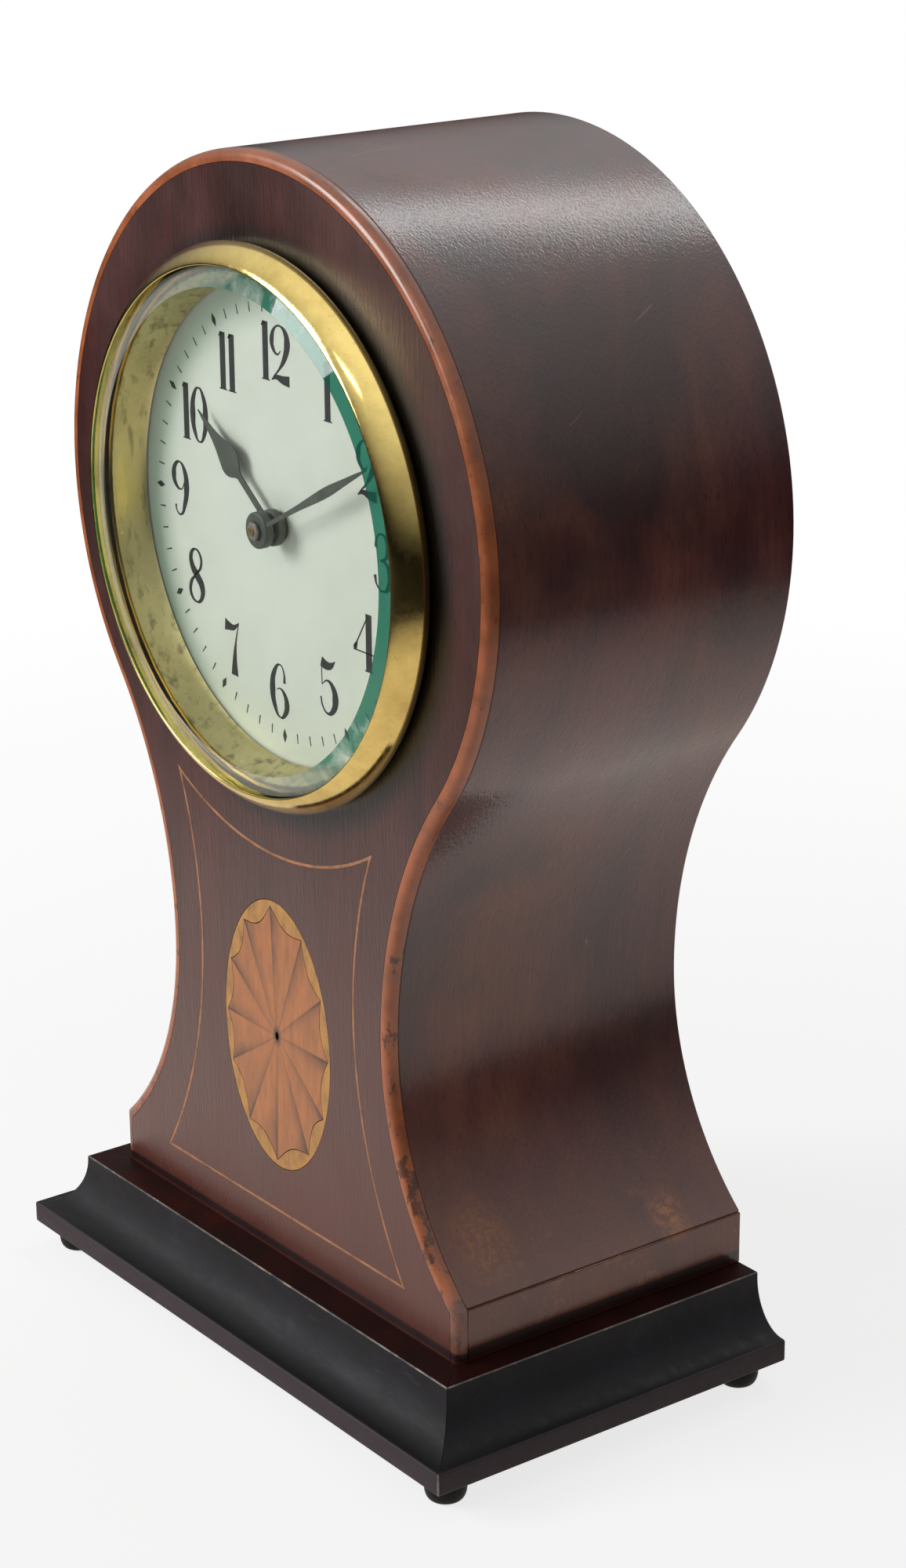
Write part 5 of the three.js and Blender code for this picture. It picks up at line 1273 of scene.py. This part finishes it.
class CLOCK_OT_front(bpy.types.Operator):
    """Model the front board with its stringing and inlay"""

    bl_idname = "clock.front"
    bl_label = "Front and inlay"

    INLAY_GAP = 0.06 * MM
    POCKET = 0.7 * MM
    STRING_ROUND = 1.5 * MM
    DRUM_GAP = 0.3 * MM
    FAN_POCKET = 1.006  # size of the fan's pocket, as a share of the oval
    PETAL_GAP = 0.008  # between a petal and the border, as a share of the oval's radius
    EYE = 0.035  # open middle of the fan, as a share of its petals
    WRAPPED = 1.5  # a share across a petal above this has gone round the oval, and stands for 0

    def execute(self, context):
        case = context.scene.clock_case
        self.board(case)
        self.stringing(case)
        self.shield(case)
        self.fan()
        return {"FINISHED"}

    def board(self, case):
        back, front = levels("front_board")
        shape = case_edge(case, case.edge_string + case.glue_line)
        drum = circle((0, DIAL_HEIGHT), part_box("drum")[1].x + self.DRUM_GAP)
        board = ring_plate("front_panel", shape, drum, (back, front))
        bed = (front - self.POCKET, front + MM)
        cut(board, plate("fan_pocket", oval(self.FAN_POCKET), bed))
        grow = case.line_width / 2 + self.INLAY_GAP
        cut(board, ring_plate("line_groove", shield_edge(grow), shield_edge(-grow), bed))
        finished(stand(board), "case", ("front_mahogany",), ("front_board",))

    def stringing(self, case):
        outer = case_edge(case, 0)
        inner = case_edge(case, case.edge_string)
        back, front = levels("edge_stringing")
        string = plate("edge_line", outer + list(reversed(inner)), (back, front))
        corners = {(round(x, 6), round(y, 6)) for x, y in outer}
        activate(string)
        bpy.ops.object.mode_set(mode="EDIT")
        bpy.ops.mesh.select_mode(type="EDGE")
        bpy.ops.mesh.select_all(action="DESELECT")
        bpy.ops.object.mode_set(mode="OBJECT")
        for edge in string.data.edges:
            ends = [string.data.vertices[i].co for i in edge.vertices]
            edge.select = all(e.z > front - WELD and (round(e.x, 6), round(e.y, 6)) in corners for e in ends)
        bpy.ops.object.mode_set(mode="EDIT")
        bpy.ops.mesh.bevel(offset=self.STRING_ROUND, segments=5, affect="EDGES")
        bpy.ops.object.mode_set(mode="OBJECT")
        finished(stand(string), "case", ("stringing",), ("edge_stringing",))

    def shield(self, case):
        half = case.line_width / 2
        line = ring_plate("shield_line", shield_edge(half), shield_edge(-half), levels("shield_stringing"))
        finished(stand(line), "case", ("shield_line",), ("shield_stringing",))

    def fan(self):
        span = levels("fan_inlay")
        ribs = list(zip(RIBS, (*RIBS[1:], RIBS[0] + 360)))
        edge = [point for start, end in ribs for point in scallop(start, end)[:-1]]
        border = ring_plate("fan_rim", oval(1), edge, span)
        finished(stand(border), "case", ("fan_border",), ("fan_inlay_border",))
        fan = gather("fan_petals", [self.petal(start, end, span) for start, end in ribs])
        finished(stand(fan), "case", ("fan",), ("fan_inlay",))

    def petal(self, start, end, span):
        """One petal from the middle to its scalloped edge, with a map across and along it."""
        middle, half = fan_oval()
        petal = draw("petal", [(x, y, span[0]) for x, y in scallop(start, end, self.PETAL_GAP)])
        bpy.ops.mesh.select_all(action="SELECT")
        bpy.ops.mesh.extrude_edges_move()
        bpy.ops.transform.resize(value=(self.EYE, self.EYE, 1), center_override=(middle.x, middle.y, span[0]))
        thicken((0, 0, span[1] - span[0]))
        layer = petal.data.uv_layers.new(name="petal")
        for loop, spot in zip(petal.data.loops, layer.data):
            x, y, _ = petal.data.vertices[loop.vertex_index].co
            out = Vector(((x - middle.x) / half.x, (y - middle.y) / half.y))
            bearing = math.degrees(math.atan2(out.y, out.x))
            across = ((end - bearing) % 360) / (end - start)
            spot.uv = (across if across < self.WRAPPED else 0.0, out.length)
        return petal


class CLOCK_OT_face(bpy.types.Operator):
    """Model the bezel, the glass, the sight band and the dial with its marks"""

    bl_idname = "clock.face"
    bl_label = "Bezel and dial"

    LIP = 0.2 * MM
    ROLL = 2.2 * MM
    SWELL = 1.45  # between a cone, 1, and a quarter round, 2
    EASED = 0.45 * MM  # rubbed off the front of the bezel
    GLASS_GAP = 0.1 * MM
    REBATE = 0.5 * MM  # step behind the bezel's lip, out and back
    GLASS_EDGE = 2.0 * MM
    GLASS_BEVEL = 3.7 * MM
    GLASS_EASE = 0.1 * MM
    SLOPE = (0.5, 0.999)  # forward part of the normal, for the faces of the bevel
    SIGHT_WIDTH = 2.5 * MM
    SIGHT_EDGE = 0.4 * MM
    SIGHT_CURVE = 0.8  # 1 is a straight cone
    SIGHT_STOPS = (0, 0.06, 0.15, 0.3, 0.5, 0.7, 0.85, 0.95, 1)
    DIAL_HOLE = 2.6 * MM
    DIAL_THICK = 0.8 * MM
    DIAL_ROUND = 0.2 * MM
    HOUR = 30  # degrees between two hours on the dial
    MINUTE = 6
    TICK_TAPER = 0.7
    LEAF = (0.62 * MM, 1.35 * MM)  # half width and half height of an hour mark
    LEAF_EDGE = ((0, -1), (0.7, -0.35), (1, 0), (0.7, 0.35), (0, 1))  # its right side, in shares of these
    LEAF_OUT = 0.2 * MM  # outwards from the middle of the minute marks
    STEPS = 160  # round a turned piece

    def execute(self, context):
        dial = context.scene.clock_dial
        self.bezel()
        self.glass()
        self.sight()
        self.dial(dial)
        self.numerals(dial)
        self.track(dial)
        return {"FINISHED"}

    def bezel(self):
        back, front = levels("bezel")
        front -= self.EASED
        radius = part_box("bezel")[1].x
        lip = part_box("glass")[1].x + self.GLASS_GAP
        hole = lip + self.REBATE
        seat = front - self.REBATE
        inner = lip + self.LIP
        foot = back + self.ROLL
        swell, rise = radius - inner, front - foot
        power = 2 / self.SWELL
        roll = arc((radius - self.ROLL, foot), self.ROLL, -90, 0, 8)
        curve = [(inner + swell * max(x, 0) ** power, foot + rise * y ** power)
                 for x, y in arc((0, 0), 1, 0, 90, 20)]
        rim = arc((inner, front - self.LIP), self.LIP, 90, 180, 5)
        profile = [(hole, back), *roll, *curve[1:], *rim[1:], (lip, seat), (hole, seat), (hole, back)]
        bezel = turn("brass_bezel", profile, self.STEPS)
        finished(stand(bezel, 0, DIAL_HEIGHT), "case", ("bezel_brass",), ("bezel",))

    def glass(self):
        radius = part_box("glass")[1].x
        back, front = levels("glass")
        ease = self.GLASS_EASE
        flat = radius - self.GLASS_BEVEL
        profile = [(0, back), (radius - ease, back), (radius, back + ease), (radius, back + self.GLASS_EDGE),
                   (flat, front), (0, front)]
        glass = turn("bevelled_glass", profile, self.STEPS)
        stand(glass, 0, DIAL_HEIGHT)
        finished(glass, "case", ("pane", "glass_bevel"), ("glass",), 4)
        least, most = self.SLOPE
        for face in glass.data.polygons:
            out = math.hypot(face.center.x, face.center.z - BASE_TOP - DIAL_HEIGHT)
            sloping = least < -face.normal.y < most
            face.material_index = 1 if sloping and out > flat else 0

    def sight(self):
        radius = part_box("sight_ring")[1].x
        back, front = levels("sight_ring")
        inner = radius - self.SIGHT_WIDTH
        run = self.SIGHT_WIDTH - self.SIGHT_EDGE
        cone = [(inner + run * t ** self.SIGHT_CURVE, back + (front - back) * t) for t in self.SIGHT_STOPS]
        band = turn("sight_band", [*cone, (radius, front), (radius, back), cone[0]], self.STEPS)
        finished(stand(band, 0, DIAL_HEIGHT), "case", ("sight_brass",), ("sight_ring",))

    def dial(self, dial):
        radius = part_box("dial")[1].x
        front = levels("dial")[1]
        back = front - self.DIAL_THICK
        hole = self.DIAL_HOLE
        edge = arc((radius - self.DIAL_ROUND, front - self.DIAL_ROUND), self.DIAL_ROUND, 0, 90, 3)
        profile = [(hole, back), (radius, back), *edge, (hole, front), (hole, back)]
        disc = turn("enamel_dial", profile, self.STEPS)
        finished(stand(disc, 0, DIAL_HEIGHT), "case", ("enamel",), ("dial",))

    def printed(self, piece, dial, x=0.0, y=0.0):
        """Gives flat marks the thickness of ink and lays them on the dial."""
        modify(piece, "SOLIDIFY", thickness=dial.ink, offset=0)
        front = levels("dial")[1] + dial.ink / 2
        put(piece, Matrix.Translation((0, 0, front)))
        finished(stand(piece, x, DIAL_HEIGHT + y), "case", ("ink",))

    def numerals(self, dial):
        for hour in range(1, 13):
            a = math.radians(self.HOUR * hour)
            x, y = dial.numeral_circle * math.sin(a), dial.numeral_circle * math.cos(a)
            right, up = NUMERAL_SHIFT.get(hour, (0, 0))
            self.printed(numeral(str(hour), dial.numeral_height), dial, x + right * MM, y + up * MM)

    def track(self, dial):
        half = dial.tick_width / 2
        tip = half * self.TICK_TAPER
        right = [(half, dial.tick_start), (tip, dial.tick_end)]
        ticks = draw_face("minute_marks", [(-half, dial.tick_start), *right, (-tip, dial.tick_end)])
        self.repeat(1, 4, self.MINUTE)
        bpy.ops.mesh.select_all(action="SELECT")
        self.repeat(0, 12, self.HOUR)
        bpy.ops.object.mode_set(mode="OBJECT")
        self.printed(ticks, dial)
        middle = (dial.tick_start + dial.tick_end) / 2 + self.LEAF_OUT
        wide, tall = self.LEAF
        leaf = [(wide * x, middle + tall * y) for x, y in self.LEAF_EDGE]
        lozenges = draw_face("hour_marks", leaf + mirrored(leaf)[1:-1])
        self.repeat(0, 12, self.HOUR)
        bpy.ops.object.mode_set(mode="OBJECT")
        self.printed(lozenges, dial)

    def repeat(self, first, count, step):
        """Repeats what is selected round the dial, from the first place on."""
        step = math.radians(step)
        about = {"center": (0, 0, 0), "axis": (0, 0, -1)}
        if first:
            bpy.ops.mesh.spin(steps=1, angle=step * first, **about)
            self.drop_trail()
        bpy.ops.mesh.spin(steps=count - 1, angle=step * (count - 1), dupli=True, **about)

    def drop_trail(self):
        """Keeps only the last ring of a spin."""
        bpy.ops.mesh.select_all(action="INVERT")
        bpy.ops.mesh.delete(type="VERT")
        bpy.ops.mesh.select_all(action="SELECT")


class CLOCK_OT_hands(bpy.types.Operator):
    """Model the two hands and the nut that holds them"""

    bl_idname = "clock.hands"
    bl_label = "Hands"

    # Distance out from the middle and half width, in millimetres
    HOUR_LEAF = (
        (2.4, 0.72), (4.5, 0.72), (9, 0.7), (12, 0.7), (12.7, 0.98), (13.2, 1.5), (13.8, 2.1), (14.5, 2.6),
        (15.4, 2.95), (16.5, 2.95), (17.5, 2.58), (18.5, 2.18), (20, 1.6), (21.5, 1.18), (23.2, 0.8),
        (25.2, 0.5), (27, 0.27), (28.4, 0.06))
    MINUTE_LEAF = (
        (1.8, 0.46), (3, 0.42), (7.5, 0.4), (11, 0.44), (14.5, 0.53), (17.5, 0.68), (20.5, 0.84),
        (23.5, 0.93), (25.5, 0.89), (28, 0.73), (31, 0.55), (34, 0.38), (36.5, 0.18), (37.5, 0.06))
    HOUR_BEARING = 307.2  # degrees round from twelve
    MINUTE_BEARING = 62.4
    BLADE = 0.3 * MM
    COLLET = 3.3 * MM
    NECK = 2.4 * MM
    NECK_LENGTH = 0.35 * MM
    HOUR_BORE = 2.2 * MM
    MINUTE_BORE = 1.6 * MM
    ROUND = 0.35 * MM
    BLADE_EASE = 0.05 * MM
    NUT_ROUND = 0.3 * MM
    TIP = 0.8 * MM  # radius of the arbor's tip in the nut
    TIP_RISE = 0.2 * MM
    TIP_EASE = (0.2 * MM, 0.1 * MM)  # in and back from the tip's edge

    def execute(self, context):
        self.hand("hour", self.HOUR_LEAF, self.HOUR_BEARING, "hour_pipe", self.HOUR_BORE)
        self.hand("minute", self.MINUTE_LEAF, self.MINUTE_BEARING, "minute_arbor", self.MINUTE_BORE)
        self.nut()
        return {"FINISHED"}

    def hand(self, name, leaf, bearing, body, bore):
        """A thin blade let into the front of a round collet that stands on a narrow neck."""
        node = name + "_hand"
        back, front = levels(node)
        right = [(half * MM, out * MM) for out, half in leaf]
        face = front - self.ROUND
        blade = plate(name + "_leaf", right + mirrored(right), (face - self.BLADE, face))
        soften(blade, self.BLADE_EASE, 1, 40)
        r, ease = self.COLLET - self.ROUND, self.ROUND
        shoulder = back + self.NECK_LENGTH
        profile = [(bore, back), (self.NECK, back), (self.NECK, shoulder)]
        profile += [(r + x, shoulder + ease + y) for x, y in arc((0, 0), ease, -90, 0, 6)]
        profile += [(r + x, front - ease + y) for x, y in arc((0, 0), ease, 0, 90, 6)]
        collet = turn(name + "_collet", [*profile, (bore, front), (bore, back)], 64)
        hand = gather(name + "_pointer", [blade, collet])
        put(hand, Matrix.Rotation(-math.radians(bearing), 4, "Z"))
        finished(stand(hand, 0, DIAL_HEIGHT), body, ("hand_steel",), (node,))

    def nut(self):
        back, front = levels("hand_nut")
        low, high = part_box("hand_nut")
        radius = max(high.x - low.x, high.z - low.z) / 2
        six = arc((0, 0), radius, 0, 360, 6)[:-1]
        nut = plate("centre_nut", six, (back, front))
        soften(nut, self.NUT_ROUND, 2, 40)
        sunk, proud = front - self.TIP_RISE, front + self.TIP_RISE
        narrow, drop = self.TIP_EASE
        tip = [(0, sunk), (self.TIP, sunk), (self.TIP, proud - drop), (self.TIP - narrow, proud), (0, proud)]
        nut = gather("centre_nut", [nut, turn("arbor_tip", tip, 32)])
        finished(stand(nut, 0, DIAL_HEIGHT), "minute_arbor", ("nut_steel",), ("hand_nut",))


class CLOCK_OT_works(bpy.types.Operator):
    """Finish the metal and the inner wood of the parts that keep their measured shape"""

    bl_idname = "clock.works"
    bl_label = "Movement and inner parts"

    # Nodes of each finish; the others are of movement brass
    GROUPS = {
        "steel": ("bracket_screw_left", "bracket_screw_right", "ratchet_wheel", "click", "barrel_arbor",
                  "mainspring", "pallet_fork", "hairspring", "regulator", "cannon_pinion", "door_hinge_pin",
                  "escape_wheel", "winding_key"),
        "case_brass": ("drum", "back_ring", "back_door", "door_knob", "drum_bracket_left",
                       "drum_bracket_right"),
        "pine": ("base_board",),
    }

    def execute(self, context):
        for name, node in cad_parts.items():
            if node.hide_render:
                continue
            kinds = [kind for kind, names in self.GROUPS.items() if name in names] or ["movement_brass"]
            node.data.materials.clear()
            node.data.materials.append(finish(kinds[0]))
        return {"FINISHED"}


OPERATORS = (
    CLOCK_OT_stage, CLOCK_OT_base, CLOCK_OT_case, CLOCK_OT_front, CLOCK_OT_face, CLOCK_OT_hands,
    CLOCK_OT_works)


class CLOCK_PT_panel(bpy.types.Panel):
    """The steps of the model, with the settings that they read"""

    bl_idname = "CLOCK_PT_panel"
    bl_label = "Balloon clock"
    bl_space_type = "VIEW_3D"
    bl_region_type = "UI"
    bl_category = "Clock"

    def draw(self, context):
        for step in OPERATORS:
            self.layout.operator(step.bl_idname)
        for key in SETTINGS:
            group = getattr(context.scene, key)
            box = self.layout.box()
            for name in group.__annotations__:
                box.prop(group, name)


SETTINGS = {
    "clock_case": ClockCase, "clock_dial": ClockDial, "clock_finish": ClockFinish, "clock_stage": ClockStage}
CLASSES = (*SETTINGS.values(), *OPERATORS, CLOCK_PT_panel)


def register():
    for kind in CLASSES:
        bpy.utils.register_class(kind)
    for key, kind in SETTINGS.items():
        setattr(bpy.types.Scene, key, PointerProperty(type=kind))


def unregister():
    for key in SETTINGS:
        delattr(bpy.types.Scene, key)
    for kind in reversed(CLASSES):
        bpy.utils.unregister_class(kind)


def main():
    register()
    bpy.ops.clock.stage()
    bpy.ops.clock.base()
    bpy.ops.clock.case()
    bpy.ops.clock.front()
    bpy.ops.clock.face()
    bpy.ops.clock.hands()
    bpy.ops.clock.works()


if __name__ == "__main__":
    main()
